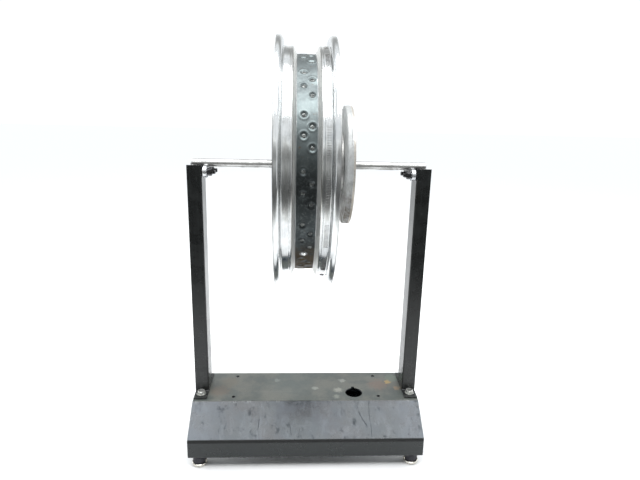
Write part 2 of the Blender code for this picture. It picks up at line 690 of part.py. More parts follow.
def build_cone(side, wheel):
    """One side's cone, lock collar and set screw, on an axis that slides along the arbor."""
    name = SIDE_NAMES[side]
    hub_end = RIM_X + (HUB_LEFT_X if side == LEFT else HUB_RIGHT_X)
    inside_hub = (HUB_SEAT_RADIUS - GAP - CONE_SMALL_RADIUS) / CONE_SLOPE
    axis = add_axis(f"cone_axis_{name}", (hub_end - side * inside_hub, 0, 0), wheel)
    outwards = (0, 0, 0 if side == RIGHT else pi)
    cone = turned(cone_section(), MEDIUM_SIDES)
    add_part(f"cone_{name}", cone, POLISHED_STEEL, rotation=outwards, parent=axis)
    collar_at = (side * (CONE_LENGTH + GAP), 0, 0)
    ring = washer(ARBOR_BORE_RADIUS, LOCK_COLLAR_RADIUS, LOCK_COLLAR_WIDTH, MEDIUM_SIDES)
    collar = add_part(f"lock_collar_{name}", ring, BLACK_OXIDE, collar_at, outwards, axis)
    middle = LOCK_COLLAR_WIDTH / 2
    screw_hole = bmesh.new()
    hole_centre = (middle, 0, LOCK_COLLAR_RADIUS)
    add_drill(screw_hole, hole_centre, SET_SCREW_RADIUS + GAP, LOCK_COLLAR_RADIUS)
    combine(collar, "DIFFERENCE", screw_hole)
    socket = hexagon(SET_SCREW_SOCKET_ACROSS)
    length = LOCK_COLLAR_RADIUS - ARBOR_BORE_RADIUS - GAP
    bottom = length - SET_SCREW_SOCKET_DEPTH
    section = [(0, 0), (0, SET_SCREW_RADIUS), (length, SET_SCREW_RADIUS), (length, socket)]
    screw = turned(section + [(bottom, socket), (bottom, 0)], SMALL_SIDES)
    screw_at = (collar_at[0] + side * middle, 0, ARBOR_BORE_RADIUS)
    add_part(f"set_screw_{name}", screw, BLACK_OXIDE, screw_at, UPWARDS, axis)


def build_arbor(wheel):
    end, edge = ARBOR_HALF_LENGTH, ARBOR_CHAMFER
    half = [(end - edge, ARBOR_RADIUS), (end, ARBOR_RADIUS - edge), (end, 0)]
    section = [(-x, radius) for x, radius in half[::-1]] + half
    add_part("arbor", turned(section, MEDIUM_SIDES), POLISHED_STEEL, parent=wheel)


def build():
    clear_scene()
    build_base()
    for side in (LEFT, RIGHT):
        build_upright(side)
    for side, front in CORNERS:
        build_tab_fasteners(side, front)
        build_roller(side, front)
        build_foot(side, front)
    wheel = add_axis("wheel_axis", (0, 0, ARBOR_Z))
    build_arbor(wheel)
    build_hub_and_drum(wheel)
    build_rim(wheel)
    for side in (LEFT, RIGHT):
        build_spokes(side, wheel)
        build_cone(side, wheel)


build()
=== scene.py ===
"""The looks of a wheel truing stand that carries a bare spoked rim, its hub and a brake drum on an arbor.

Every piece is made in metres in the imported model's frame: +X along the arbor towards the drum, +Y to the
back, +Z up. Turned pieces are made about X. A piece on the wheel has its origin on the arbor's axis, which
is where its material's pattern is measured from.
"""

from math import acos, atan2, cos, pi, radians, sin, sqrt, tan

import bmesh
import bpy
import numpy as np
from mathutils import Matrix, Vector


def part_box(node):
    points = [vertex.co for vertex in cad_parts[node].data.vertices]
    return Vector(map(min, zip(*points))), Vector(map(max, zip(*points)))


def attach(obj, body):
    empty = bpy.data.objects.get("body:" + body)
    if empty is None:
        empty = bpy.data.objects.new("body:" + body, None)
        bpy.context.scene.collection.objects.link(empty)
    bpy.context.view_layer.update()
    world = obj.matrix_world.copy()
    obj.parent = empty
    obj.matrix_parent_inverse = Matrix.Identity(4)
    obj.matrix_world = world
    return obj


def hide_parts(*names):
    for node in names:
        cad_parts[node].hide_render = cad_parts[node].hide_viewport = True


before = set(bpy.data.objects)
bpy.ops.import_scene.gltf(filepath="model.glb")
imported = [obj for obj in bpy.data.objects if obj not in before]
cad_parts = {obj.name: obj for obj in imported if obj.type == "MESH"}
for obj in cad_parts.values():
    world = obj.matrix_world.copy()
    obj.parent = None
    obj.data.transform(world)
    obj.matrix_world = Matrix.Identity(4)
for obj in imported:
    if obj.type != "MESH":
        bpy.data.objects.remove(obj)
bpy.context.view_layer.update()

LEFT, RIGHT, FRONT, BACK = -1, 1, -1, 1
SIDE_NAMES = {LEFT: "left", RIGHT: "right"}
DEPTH_NAMES = {FRONT: "front", BACK: "back"}
CORNERS = [(side, depth) for side in (LEFT, RIGHT) for depth in (FRONT, BACK)]


def centre_of(node):
    low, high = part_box(node)
    return (low + high) / 2


# Sizes and places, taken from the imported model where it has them
GAP = 0.0003
STEEL = 0.0025
BASE_LOW, BASE_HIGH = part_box("base_plate")
TOP_Z = BASE_HIGH.z
FOOT_HEIGHT = BASE_LOW.z
LIP_TOP_Z = 0.058
TOP_HALF_DEPTH = 0.0529
RETURN_WIDTH = 0.032
BASE_BEND = 0.005
SPARE_HOLES = (0.1435, 0.039, 0.0035)  # x, y, radius
CABLE_HOLE = (0.0956, -0.0255, 0.017)
CABLE_NOTCH = (0.003, 0.005)  # half width, depth

UPRIGHT_LOW, UPRIGHT_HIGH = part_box("upright_left")
UPRIGHT_INNER_X = -UPRIGHT_HIGH.x
UPRIGHT_OUTER_X = -UPRIGHT_LOW.x
TAB_REACH_Y = UPRIGHT_HIGH.y
UPRIGHT_TOP_Z = UPRIGHT_HIGH.z
UPRIGHT_HALF_DEPTH = 0.0212
UPRIGHT_BEND = 0.0032
TAB_INSET = 0.0004
TAB_BEND = 0.0025
TAB_BOLT_X = centre_of("tab_bolt_right_back").x
TAB_BOLT_Y = centre_of("tab_bolt_right_back").y

BOLT_RADIUS = 0.004
BOLT_HOLE_RADIUS = BOLT_RADIUS + GAP
BOLT_PITCH = 0.00125
HEX_ACROSS_FLATS = 0.013
HEAD_HEIGHT = 0.0053

AXIS_Z = centre_of("arbor").z
ARBOR_RADIUS = 0.0075
ARBOR_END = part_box("arbor")[1].x
ARBOR_NOTCH_RADIUS = 0.009
ROLLER_AT = centre_of("roller_outer_ring_right_back")
ROLLER_RADIUS = 0.011

FOOT_AT = centre_of("foot_glide_right_back")
STUD_RADIUS = 0.005
STUD_TOP_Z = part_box("foot_glide_right_back")[1].z
STUD_PITCH = 0.0015

RIM_X = centre_of("rim").x
RIM_WALL = 0.003
RIM_TOP_RADIUS = 0.22015
BEAD_RADIUS = 0.2028
WELL_RADIUS = 0.190
BEAD_HALF_WIDTH = 0.0381
FLANGE_ROLL = 0.008
LIP_REACH = 0.00315  # from the flange's crown to its lip, along X
WELL_MID_X = 0.0007
WELL_HALF_WIDTH = 0.016
WELL_SLOPE = 0.0055
RIM_SIDES = 56 * 13
WELL_COLUMNS = 34
DIMPLE_RADIUS = 0.0070
DIMPLE_DEPTH = 0.0019
VALVE_HOLE_RADIUS = 0.0042
VALVE_ANGLE = radians(-43.5)
VALVE_X = -0.001
KNURL_X = (0.0290, 0.0374)
KNURL_RIBS = 20
KNURL_PATCHES = 17
KNURL_PITCH = 0.00235
KNURL_START = radians(-5.5)

SPOKE_GROUPS = 14
GROUP_START = radians(-4.9)
GROUP_OUTER = radians(7.65)
GROUP_INNER = radians(2.1)
SPOKE_LEAD = radians(25)
SPOKE_RADIUS = 0.0019
NIPPLE_END_RADIUS = 0.1858
NIPPLE_LENGTH = 0.014
NIPPLES_X = {LEFT: -0.0043, RIGHT: 0.0084}
SPOKE_CIRCLE = {LEFT: 0.040, RIGHT: 0.055}
HUB_FLANGE = {LEFT: (-0.0325, -0.0275), RIGHT: (0.047, 0.042)}  # outer face, inner face
HUB_FLANGE_RADIUS = {LEFT: 0.045, RIGHT: 0.060}
HUB_ENDS = (-0.036, 0.073)
DRUM_X = (0.069, 0.0835)
DRUM_RADIUS = 0.1065

# Colours, linear
BACKDROP = (0.95, 0.98, 1.0)
WORLD_STRENGTH = 1.1
FLOOR_COLOUR = (0.94, 0.945, 0.95)
CARD_TINT = (0.98, 1.0, 0.99)
CURVE_SCALE = 2.0  # a curve node holds values up to 1, and the cards are brighter
LAMPS = [  # name, size, place, aim, watts
    ("overhead", (2.2, 1.6), (0.0, -0.35, 2.1), (0.0, 0.0, 0.2), 52),
    ("back_left", (1.0, 1.4), (-1.9, 1.2, 1.5), (0.0, 0.0, 0.45), 10),
    ("back_right", (1.0, 1.4), (1.9, 1.0, 1.4), (0.0, 0.0, 0.45), 10),
]


# ---- outlines


def arc(centre, radius, start, end, steps):
    angles = [start + (end - start) * step / steps for step in range(steps + 1)]
    return [(centre[0] + radius * cos(a), centre[1] + radius * sin(a)) for a in angles]


def rounded(corners, steps=3, closed=True):
    """Points of an outline of (x, y, radius) corners, each rounded off with its radius."""
    points = []
    for index, (x, y, radius) in enumerate(corners):
        here = Vector((x, y))
        if radius == 0 or (not closed and index in (0, len(corners) - 1)):
            points.append((x, y))
            continue
        before = Vector(corners[index - 1][:2]) - here
        after = Vector(corners[(index + 1) % len(corners)][:2]) - here
        half = before.angle(after) / 2
        reach = min(radius / tan(half), 0.49 * before.length, 0.49 * after.length)
        centre = here + (before.normalized() + after.normalized()).normalized() * reach / cos(half)
        start = here + before.normalized() * reach - centre
        end = here + after.normalized() * reach - centre
        turn = atan2(start.x * end.y - start.y * end.x, start.dot(end))
        for step in range(steps + 1):
            swung = Matrix.Rotation(turn * step / steps, 2) @ start
            points.append(tuple(centre + swung))
    return points


def folded_outline(corners, radius, thickness, steps=7):
    """The closed outline of a sheet whose outside face follows the corners, every bend turning clockwise."""
    corners = [Vector(corner) for corner in corners]
    legs = [(b - a).normalized() for a, b in zip(corners, corners[1:])]
    normals = [Vector((leg.y, -leg.x)) for leg in legs]
    outside, inside = [corners[0]], [corners[0] + thickness * normals[0]]
    for corner, before, after in zip(corners[1:], legs, legs[1:]):
        turn = acos(before.dot(after))
        inward = Vector((before.y, -before.x))
        centre = corner - before * radius * tan(turn / 2) + inward * radius
        start = atan2(-inward.y, -inward.x)
        for wall, reach in ((outside, radius), (inside, radius - thickness)):
            wall.extend(Vector(p) for p in arc(centre, reach, start, start - turn, steps))
    outside.append(corners[-1])
    inside.append(corners[-1] + thickness * normals[-1])
    return outside + inside[::-1]


def hexagon(across_flats, bottom, top, chamfer=0.95):
    """Four entries of a turned section: a hexagon between two heights, with both faces chamfered round."""
    flat = across_flats / 2

    def reach(angle):
        return min(flat / cos(angle % (pi / 3) - pi / 6), 0.985 * across_flats / sqrt(3))

    def edge(height, towards):
        return lambda angle: (height + towards * (reach(angle) - chamfer * flat) * 0.577, reach(angle))

    return [(bottom, chamfer * flat), edge(bottom, 1), edge(top, -1), (top, chamfer * flat)]


def thread(start, end, radius, pitch, depth):
    """Entries of a turned section that follow a screw thread from one height to another."""

    def ring(x):
        fade = min(1, (x - start) / pitch, (end - x) / pitch)

        def point(angle):
            return x, radius - depth * (1 - fade * (1 - abs(2 * ((x / pitch - angle / (2 * pi)) % 1) - 1)))

        return point

    return [ring(float(x)) for x in np.arange(start, end, pitch / 5)] + [ring(end)]


# ---- meshes


class Shell:
    """Points and faces, gathered before they become one piece's mesh."""

    def __init__(self):
        self.points, self.faces = [], []

    def add_rings(self, rings, loop=False):
        """Joins rings with faces. A ring of one point is a pole. loop joins the last ring to the first."""
        starts = []
        for ring in rings:
            starts.append(len(self.points))
            self.points.extend(ring)
        pairs = list(zip(range(len(rings)), range(1, len(rings))))
        for i, j in pairs + ([(len(rings) - 1, 0)] if loop else []):
            a, b, count = starts[i], starts[j], max(len(rings[i]), len(rings[j]))
            for k in range(count):
                after = (k + 1) % count
                if len(rings[i]) == 1:
                    self.faces.append((a, b + k, b + after))
                elif len(rings[j]) == 1:
                    self.faces.append((a + k, b, a + after))
                else:
                    self.faces.append((a + k, b + k, b + after, a + after))

    def add_turned(self, section, sides, placed=Matrix.Identity(4)):
        """Turns (x, radius) entries about X. An entry may be a function of the angle. Radius 0 is a pole."""
        rings = []
        for entry in section:
            if not callable(entry) and entry[1] == 0:
                rings.append([placed @ Vector((entry[0], 0, 0))])
                continue
            ring = []
            for angle in (2 * pi * side / sides for side in range(sides)):
                x, radius = entry(angle) if callable(entry) else entry
                ring.append(placed @ Vector((x, radius * cos(angle), radius * sin(angle))))
            rings.append(ring)
        self.add_rings(rings, loop=len(rings[0]) > 1)

    def add_prism(self, outline, depth, placed):
        """Extrudes an outline in the XY plane along Z."""
        first, count = len(self.points), len(outline)
        self.points += [placed @ Vector((x, y, z)) for z in (0, depth) for x, y in outline]
        end = range(first + count, first + 2 * count)
        self.faces += [tuple(range(first, first + count))[::-1], tuple(end)]
        for k in range(count):
            after = (k + 1) % count
            self.faces.append((first + k, first + after, first + count + after, first + count + k))

    def add_tube(self, path, radius, sides=8):
        """A round wire along a path, with its ends closed."""
        path = [Vector(point) for point in path]
        aim = (path[1] - path[0]).normalized()
        across = aim.orthogonal().normalized()
        rings = [[path[0]]]
        for index, point in enumerate(path):
            following = path[min(index + 1, len(path) - 1)] - path[max(index - 1, 0)]
            swing = aim.rotation_difference(following.normalized())
            aim, across = following.normalized(), swing @ across
            beside = aim.cross(across)
            angles = [2 * pi * side / sides for side in range(sides)]
            rings.append([point + radius * (cos(a) * across + sin(a) * beside) for a in angles])
        self.add_rings(rings + [[path[-1]]])


def turned(section, sides, placed=Matrix.Identity(4)):
    shell = Shell()
    shell.add_turned(section, sides, placed)
    return shell


def mesh_of(name, shell):
    mesh = bpy.data.meshes.new(name)
    mesh.from_pydata([tuple(point) for point in shell.points], [], shell.faces)
    shape = bmesh.new()
    shape.from_mesh(mesh)
    bmesh.ops.recalc_face_normals(shape, faces=shape.faces)
    shape.to_mesh(mesh)
    shape.free()
    return mesh


def combine(mesh, operation, shell):
    """The mesh joined with a shell, or with the shell cut out of it."""
    body = bpy.data.objects.new("combined", mesh)
    helper = bpy.data.objects.new("helper", mesh_of("helper", shell))
    for obj in (body, helper):
        bpy.context.scene.collection.objects.link(obj)
    boolean = body.modifiers.new(operation.title(), "BOOLEAN")
    boolean.operation, boolean.object = operation, helper
    graph = bpy.context.evaluated_depsgraph_get()
    result = bpy.data.meshes.new_from_object(body.evaluated_get(graph), depsgraph=graph)
    for obj in (body, helper):
        bpy.data.objects.remove(obj)
    return result


def add_piece(name, shape, body, look, nodes=(), origin=(0, 0, 0), bevel=0, angle=35):
    """Makes a piece from a shell or a mesh, on its CAD body, and hides the CAD nodes that it stands for."""
    material, slot = look
    mesh = mesh_of(name, shape) if isinstance(shape, Shell) else shape
    mesh.name = name
    mesh.materials.clear()
    mesh.materials.append(material)
    piece = bpy.data.objects.new(name, mesh)
    bpy.context.scene.collection.objects.link(piece)
    piece.location = origin
    mesh.shade_smooth()
    mesh.set_sharp_from_angle(angle=radians(angle))
    if bevel:
        rounding = piece.modifiers.new("Bevel", "BEVEL")
        rounding.width, rounding.segments = bevel, 2
        rounding.limit_method, rounding.angle_limit = "ANGLE", radians(angle)
    weighting = piece.modifiers.new("Weighted normals", "WEIGHTED_NORMAL")
    weighting.keep_sharp = True
    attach(piece, body)
    if nodes:
        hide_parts(*nodes)


def add_node(node, suffix, shape, body, look, origin=(0, 0, 0)):
    """Adds the piece that stands for one CAD node, named after it."""
    add_piece(f"{node}_{suffix}", shape, body, looks[look], [node], origin)


# ---- places

WHEEL_ORIGIN = (0, 0, AXIS_Z)
UPWARDS = Matrix.Rotation(-pi / 2, 4, "Y")  # turns a piece's own X axis to +Z


def corner_name(side, depth):
    return f"{SIDE_NAMES[side]}_{DEPTH_NAMES[depth]}"


def facing(side):
    """Turns a piece's own X axis from this side towards the wheel, with a hexagon's flats at Y."""
    return Matrix.Rotation(0 if side == LEFT else pi, 4, "Z") @ Matrix.Rotation(pi / 6, 4, "X")


def standing(x, y, z):
    """Puts a piece made along X upright on a point."""
    return Matrix.Translation((x, y, z)) @ UPWARDS


def drill(shell, centre, radius, length, sides=40, turn=Matrix.Identity(4)):
    half = length / 2
    section = [(-half, 0), (-half, radius), (half, radius), (half, 0)]
    shell.add_turned(section, sides, Matrix.Translation(centre) @ turn)


def wheel_turn(angle):
    """The rotation about the arbor that takes +Y to an angle above the horizontal front."""
    return Matrix.Rotation(pi - angle, 4, "X")


# ---- materials


class Finish:
    """A node material, built up from patterns in the piece's own coordinates, which are metres."""

    def __init__(self, name, metallic=0.0, specular=0.5):
        self.material = bpy.data.materials.new(name)
        self.material.use_nodes = True
        self.tree = self.material.node_tree
        self.shader = self.tree.nodes["Principled BSDF"]
        self.shader.inputs["Metallic"].default_value = metallic
        self.shader.inputs["Specular IOR Level"].default_value = specular
        self.place = self.add("ShaderNodeTexCoord").outputs["Object"]
        axes = self.add("ShaderNodeSeparateXYZ", {0: self.place}).outputs
        self.x, self.y, self.z = axes[0], axes[1], axes[2]

    def add(self, kind, inputs=None, **settings):
        made = self.tree.nodes.new(kind)
        for name, value in settings.items():
            setattr(made, name, value)
        for socket, value in (inputs or {}).items():
            if isinstance(value, bpy.types.NodeSocket):
                self.tree.links.new(value, made.inputs[socket])
            else:
                made.inputs[socket].default_value = value
        return made

    def math(self, operation, *values):
        return self.add("ShaderNodeMath", dict(enumerate(values)), operation=operation).outputs[0]

    def times(self, first, second):
        return self.math("MULTIPLY", first, second)

    def plus(self, first, second):
        return self.math("ADD", first, second)

    def minus(self, first, second):
        return self.math("SUBTRACT", first, second)

    def noise(self, scale, detail=3.0, roughness=0.55, stretch=(1, 1, 1), shift=0.0, distortion=0.0):
        """Noise from 0 to 1, scale blobs to the metre. A small stretch draws it out along that axis."""
        place = self.place
        if stretch != (1, 1, 1) or shift:
            inputs = {"Vector": place, "Scale": stretch, "Location": (shift, shift, shift)}
            place = self.add("ShaderNodeMapping", inputs).outputs[0]
        inputs = {"Vector": place, "Scale": scale, "Detail": detail, "Roughness": roughness}
        inputs["Distortion"] = distortion
        return self.add("ShaderNodeTexNoise", inputs).outputs["Fac"]

    def ramp(self, value, low, high, low_to=0.0, high_to=1.0):
        """Maps low..high smoothly to low_to..high_to, and holds it beyond them."""
        inputs = {0: value, 1: low, 2: high, 3: low_to, 4: high_to}
        return self.add("ShaderNodeMapRange", inputs, interpolation_type="SMOOTHSTEP").outputs[0]

    def mix(self, share, first, second):
        """A colour between two, each of which is a colour or the output of another mix."""
        inputs = {}
        for socket, value in ((0, share), (6, first), (7, second)):
            is_colour = isinstance(value, tuple)
            inputs[socket] = (*value, 1.0) if is_colour else value
        return self.add("ShaderNodeMix", inputs, data_type="RGBA").outputs[2]

    def over(self, colour, mask, strength, tone):
        """The colour with a tone laid over it where the mask is."""
        return self.mix(self.times(mask, strength), colour, tone)

    def radius(self):
        """Distance from the X axis."""
        squares = [self.times(axis, axis) for axis in (self.y, self.z)]
        return self.math("SQRT", self.plus(*squares))

    def between(self, value, low, high, edge):
        """1 inside a band of values and 0 outside, with soft edges."""
        rising = self.ramp(value, low - edge, low + edge)
        falling = self.ramp(value, high - edge, high + edge, 1.0, 0.0)
        return self.times(rising, falling)

    def blotch(self, centre, radius, ragged=0.35, scale=90.0):
        """1 near a point and 0 away from it, with a ragged edge. A coordinate of None is left out."""
        total = None
        for axis, value in zip((self.x, self.y, self.z), centre):
            if value is not None:
                offset = self.minus(axis, value)
                square = self.times(offset, offset)
                total = square if total is None else self.plus(total, square)
        near = self.math("DIVIDE", self.math("SQRT", total), radius)
        rough = self.times(self.minus(self.noise(scale), 0.5), 4 * ragged)
        return self.ramp(self.plus(near, rough), 0.55, 1.15, 1.0, 0.0)

    def streaks(self, along, scale, threshold, shift=0.0):
        """Sparse fine lines drawn out along an axis of the piece."""
        stretch = tuple(0.02 if axis == along else 1 for axis in "xyz")
        value = self.noise(scale, 2.0, 0.6, stretch, shift)
        return self.ramp(value, threshold, threshold + 0.05)

    def finish(self, colour, rough, bumps=()):
        self.tree.links.new(colour, self.shader.inputs["Base Color"])
        self.tree.links.new(rough, self.shader.inputs["Roughness"])
        normal = None
        for height, depth, strength in bumps:
            inputs = {"Height": height, "Distance": depth, "Strength": strength}
            if normal is not None:
                inputs["Normal"] = normal
            normal = self.add("ShaderNodeBump", inputs).outputs[0]
        if normal is not None:
            self.tree.links.new(normal, self.shader.inputs["Normal"])
        return self.material


def metal(name, light, dark, rough, scale, stain=None, grain=900.0, grain_depth=2e-5):
    """A bare or plated metal: two tones in clouds, fine grain and spots of grime."""
    made = Finish(name, metallic=1.0)
    clouds = made.ramp(made.noise(scale, 4.0, 0.6), 0.38, 0.66)
    grain_noise = made.noise(grain, 3.0, 0.6)
    colour = made.mix(clouds, light, dark)
    colour = made.mix(made.ramp(grain_noise, 0.45, 0.75, 0.0, 0.35), colour, dark)
    roughness = made.plus(made.ramp(clouds, 0, 1, rough[0], rough[1]),
                          made.ramp(grain_noise, 0.3, 0.7, 0.0, 0.08))
    if stain:
        spots = made.ramp(made.noise(scale * 2.6, 5.0, 0.7, shift=3.0), 0.60, 0.72)
        colour = made.mix(spots, colour, stain)
        roughness = made.plus(roughness, made.times(spots, 0.25))
    return made.finish(colour, roughness, [(grain_noise, grain_depth, 0.5)])


def upright_paint():
    """Gloss black paint with faint drawn lines along the uprights, paler and rougher patches towards the
    bottom, and greyed corners.
    """
    made = Finish("upright_paint")
    clouds = made.noise(35.0, 5.0, 0.6)
    colour = made.mix(made.ramp(clouds, 0.35, 0.7), (0.0032, 0.0042, 0.0042), (0.0065, 0.0082, 0.0082))
    drawn = made.noise(420.0, 2.0, 0.5, (1, 1, 0.006))
    colour = made.mix(made.ramp(drawn, 0.54, 0.72, 0.0, 0.4), colour, (0.024, 0.027, 0.028))
    # Paler grey, rougher patches are painted towards the bottom, fading out within 15 cm above the base's
    # top.
    low_down = made.ramp(made.z, TOP_Z, TOP_Z + 0.15, 1.0, 0.0)
    pale_patches = made.times(low_down, made.ramp(made.noise(120.0, 5.0, 0.7), 0.42, 0.68))
    colour = made.over(colour, pale_patches, 0.30, (0.080, 0.085, 0.082))
    depth = made.math("ABSOLUTE", made.y)
    corner = made.between(depth, UPRIGHT_HALF_DEPTH - 0.0012, UPRIGHT_HALF_DEPTH + 0.001, 0.0004)
    chips = made.ramp(made.noise(520.0, 3.0, 0.7, shift=1.7), 0.70, 0.74)
    chips = made.times(chips, corner)
    colour = made.mix(chips, colour, (0.30, 0.30, 0.29))
    scuffs = made.streaks("y", 160.0, 0.68, 2.0)
    colour = made.over(colour, scuffs, 0.25, (0.11, 0.115, 0.115))
    side_face = made.ramp(depth, UPRIGHT_HALF_DEPTH - 0.0030, UPRIGHT_HALF_DEPTH - 0.0010, 1.0, 0.0)
    rough = made.ramp(clouds, 0.3, 0.7, 0.24, 0.36)
    rough = made.minus(rough, made.times(side_face, 0.12))
    rough = made.plus(rough, made.times(pale_patches, 0.2))
    orange_peel = made.noise(700.0, 2.0, 0.5)
    return made.finish(colour, rough, [(drawn, 6e-5, 0.5), (orange_peel, 2e-5, 0.4), (chips, -5e-5, 0.7)])


BASE_SPOTS = [  # place on the top, radius, colour, strength
    ((0.018, -0.009, None), 0.007, (0.42, 0.44, 0.40), 0.35),
    ((0.065, -0.017, None), 0.009, (0.46, 0.46, 0.40), 0.35),
    ((0.076, 0.020, None), 0.008, (0.46, 0.47, 0.42), 0.35),
    ((0.060, -0.040, None), 0.007, (0.40, 0.42, 0.36), 0.30),
    ((-0.060, 0.022, None), 0.007, (0.40, 0.42, 0.38), 0.30),
    ((0.150, 0.004, None), 0.022, (0.17, 0.115, 0.090), 0.55),
    ((0.171, 0.014, None), 0.008, (0.40, 0.27, 0.09), 0.65),
    ((0.186, -0.010, None), 0.008, (0.30, 0.20, 0.11), 0.50),
    ((0.182, 0.030, None), 0.016, (0.13, 0.17, 0.13), 0.45),
    ((-0.172, -0.018, None), 0.022, (0.15, 0.115, 0.085), 0.50),
    ((-0.158, 0.016, None), 0.020, (0.14, 0.12, 0.09), 0.40),
    ((-0.030, 0.010, None), 0.050, (0.10, 0.12, 0.115), 0.35),
]
SLOPE_SCRATCHES = [  # x and y of both ends, width
    ((0.1010, -0.0720), (0.1150, -0.0960), 0.0011),
    ((0.1210, -0.0560), (0.1225, -0.1120), 0.0006),
    ((-0.0900, -0.0830), (-0.0930, -0.0990), 0.0012),
    ((-0.0330, -0.0900), (-0.0300, -0.1080), 0.0009),
    ((0.0880, 0.0700), (-0.0200, 0.0860), 0.0009),
    ((-0.1500, 0.0620), (-0.1350, 0.1000), 0.0010),
]


def scratch(made, start, end, width):
    """1 on a thin line between two points, seen from above."""
    line = Vector(end) - Vector(start)
    along, across = line.normalized(), Vector((-line.y, line.x)).normalized()

    def measured(direction, origin):
        shares = [made.times(made.x, direction.x), made.times(made.y, direction.y)]
        return made.minus(made.plus(*shares), direction.dot(Vector(origin)))

    wander = made.times(made.minus(made.noise(70.0, 2.0), 0.5), 0.006)
    beside = made.math("ABSOLUTE", made.plus(measured(across, start), wander))
    near = made.ramp(beside, 0.2 * width, width, 1.0, 0.0)
    return made.times(near, made.between(measured(along, start), 0, line.length, 0.002))


def base_paint():
    """Worn gloss black paint: hazed and mottled on the slopes, dusty and stained on top, scratched, and with
    painted shade along the bend at the top of the lip.
    """
    made = Finish("base_paint")
    clouds = made.noise(26.0, 6.0, 0.65)
    fine = made.noise(210.0, 4.0, 0.65)
    top = made.ramp(made.z, TOP_Z - 0.0012, TOP_Z - 0.0002)
    slope = made.between(made.z, LIP_TOP_Z + 0.0014, TOP_Z - 0.0012, 0.0006)
    colour = made.mix(made.ramp(clouds, 0.35, 0.65), (0.0060, 0.0078, 0.0078), (0.0110, 0.0130, 0.0135))
    lip = made.ramp(made.z, LIP_TOP_Z - 0.0052, LIP_TOP_Z - 0.0042, 1.0, 0.0)
    colour = made.over(colour, lip, 0.8, (0.0070, 0.0115, 0.0120))
    haze = made.times(slope, made.ramp(clouds, 0.34, 0.68, 0.35, 1.0))
    colour = made.mix(haze, colour, (0.058, 0.072, 0.090))
    blue = made.ramp(made.noise(13.0, 3.0, 0.5, shift=5.0), 0.42, 0.62)
    colour = made.mix(made.times(slope, made.times(blue, 0.5)), colour, (0.050, 0.072, 0.082))
    cloudy = made.noise(48.0, 6.0, 0.72, (1, 0.55, 0.55), 7.0, 0.6)
    smears = made.times(slope, made.ramp(cloudy, 0.46, 0.72))
    colour = made.over(colour, smears, 0.55, (0.130, 0.150, 0.172))
    ends = made.ramp(made.math("ABSOLUTE", made.x), 0.150, 0.215)
    ends = made.times(made.times(slope, ends), made.ramp(clouds, 0.30, 0.62, 0.3, 0.8))
    colour = made.mix(ends, colour, (0.100, 0.122, 0.148))
    marks = made.ramp(made.noise(80.0, 5.0, 0.75, (1, 0.6, 0.6), 9.0), 0.55, 0.66)
    marks = made.times(slope, marks)
    colour = made.over(colour, marks, 0.38, (0.014, 0.018, 0.023))
    dusty = made.mix(made.ramp(clouds, 0.38, 0.62), (0.078, 0.090, 0.084), (0.128, 0.132, 0.117))
    soot = made.ramp(made.noise(300.0, 4.0, 0.7, shift=11.0), 0.50, 0.70, 0.0, 0.35)
    dusty = made.mix(soot, dusty, (0.042, 0.046, 0.044))
    colour = made.mix(top, colour, dusty)
    for place, radius, tone, strength in BASE_SPOTS:
        spot = made.times(made.blotch(place, radius, 0.45, 230.0), strength)
        colour = made.mix(made.times(top, spot), colour, tone)
    specks = made.ramp(made.noise(900.0, 2.0, 0.6, shift=4.0), 0.68, 0.74)
    colour = made.over(colour, specks, 0.3, (0.25, 0.26, 0.25))
    lines = made.streaks("x", 240.0, 0.66)
    colour = made.over(colour, lines, 0.08, (0.22, 0.24, 0.25))
    # Painted shade: the bend along the top of the lip is painted near black and made rougher, a painted dark
    # reflection.
    bend_shade = made.between(made.z, LIP_TOP_Z - 0.0050, LIP_TOP_Z + 0.0004, 0.0005)
    colour = made.over(colour, bend_shade, 0.9, (0.0028, 0.0034, 0.0036))
    cuts = None
    for start, end, width in SLOPE_SCRATCHES:
        cut = scratch(made, start, end, width)
        cuts = cut if cuts is None else made.math("MAXIMUM", cuts, cut)
    colour = made.over(colour, cuts, 0.6, (0.012, 0.015, 0.020))
    bare = made.times(made.between(made.z, TOP_Z - 0.0028, TOP_Z - 0.0004, 0.0005),
                      made.ramp(made.noise(75.0, 5.0, 0.7, (1, 0.3, 0.3), 2.5), 0.54, 0.64))
    colour = made.over(colour, bare, 0.35, (0.30, 0.32, 0.32))
    rough = made.ramp(clouds, 0.3, 0.7, 0.24, 0.36)
    rough = made.plus(rough, made.times(top, 0.14))
    rough = made.plus(rough, made.times(bend_shade, 0.45))
    rough = made.plus(rough, made.times(made.math("MAXIMUM", marks, cuts), 0.30))
    swell = made.noise(9.0, 2.0, 0.5, shift=8.0)
    bumps = [(swell, 1.5e-3, 0.20), (fine, 6e-5, 0.4), (cuts, -1.5e-4, 0.8)]
    return made.finish(colour, rough, bumps)


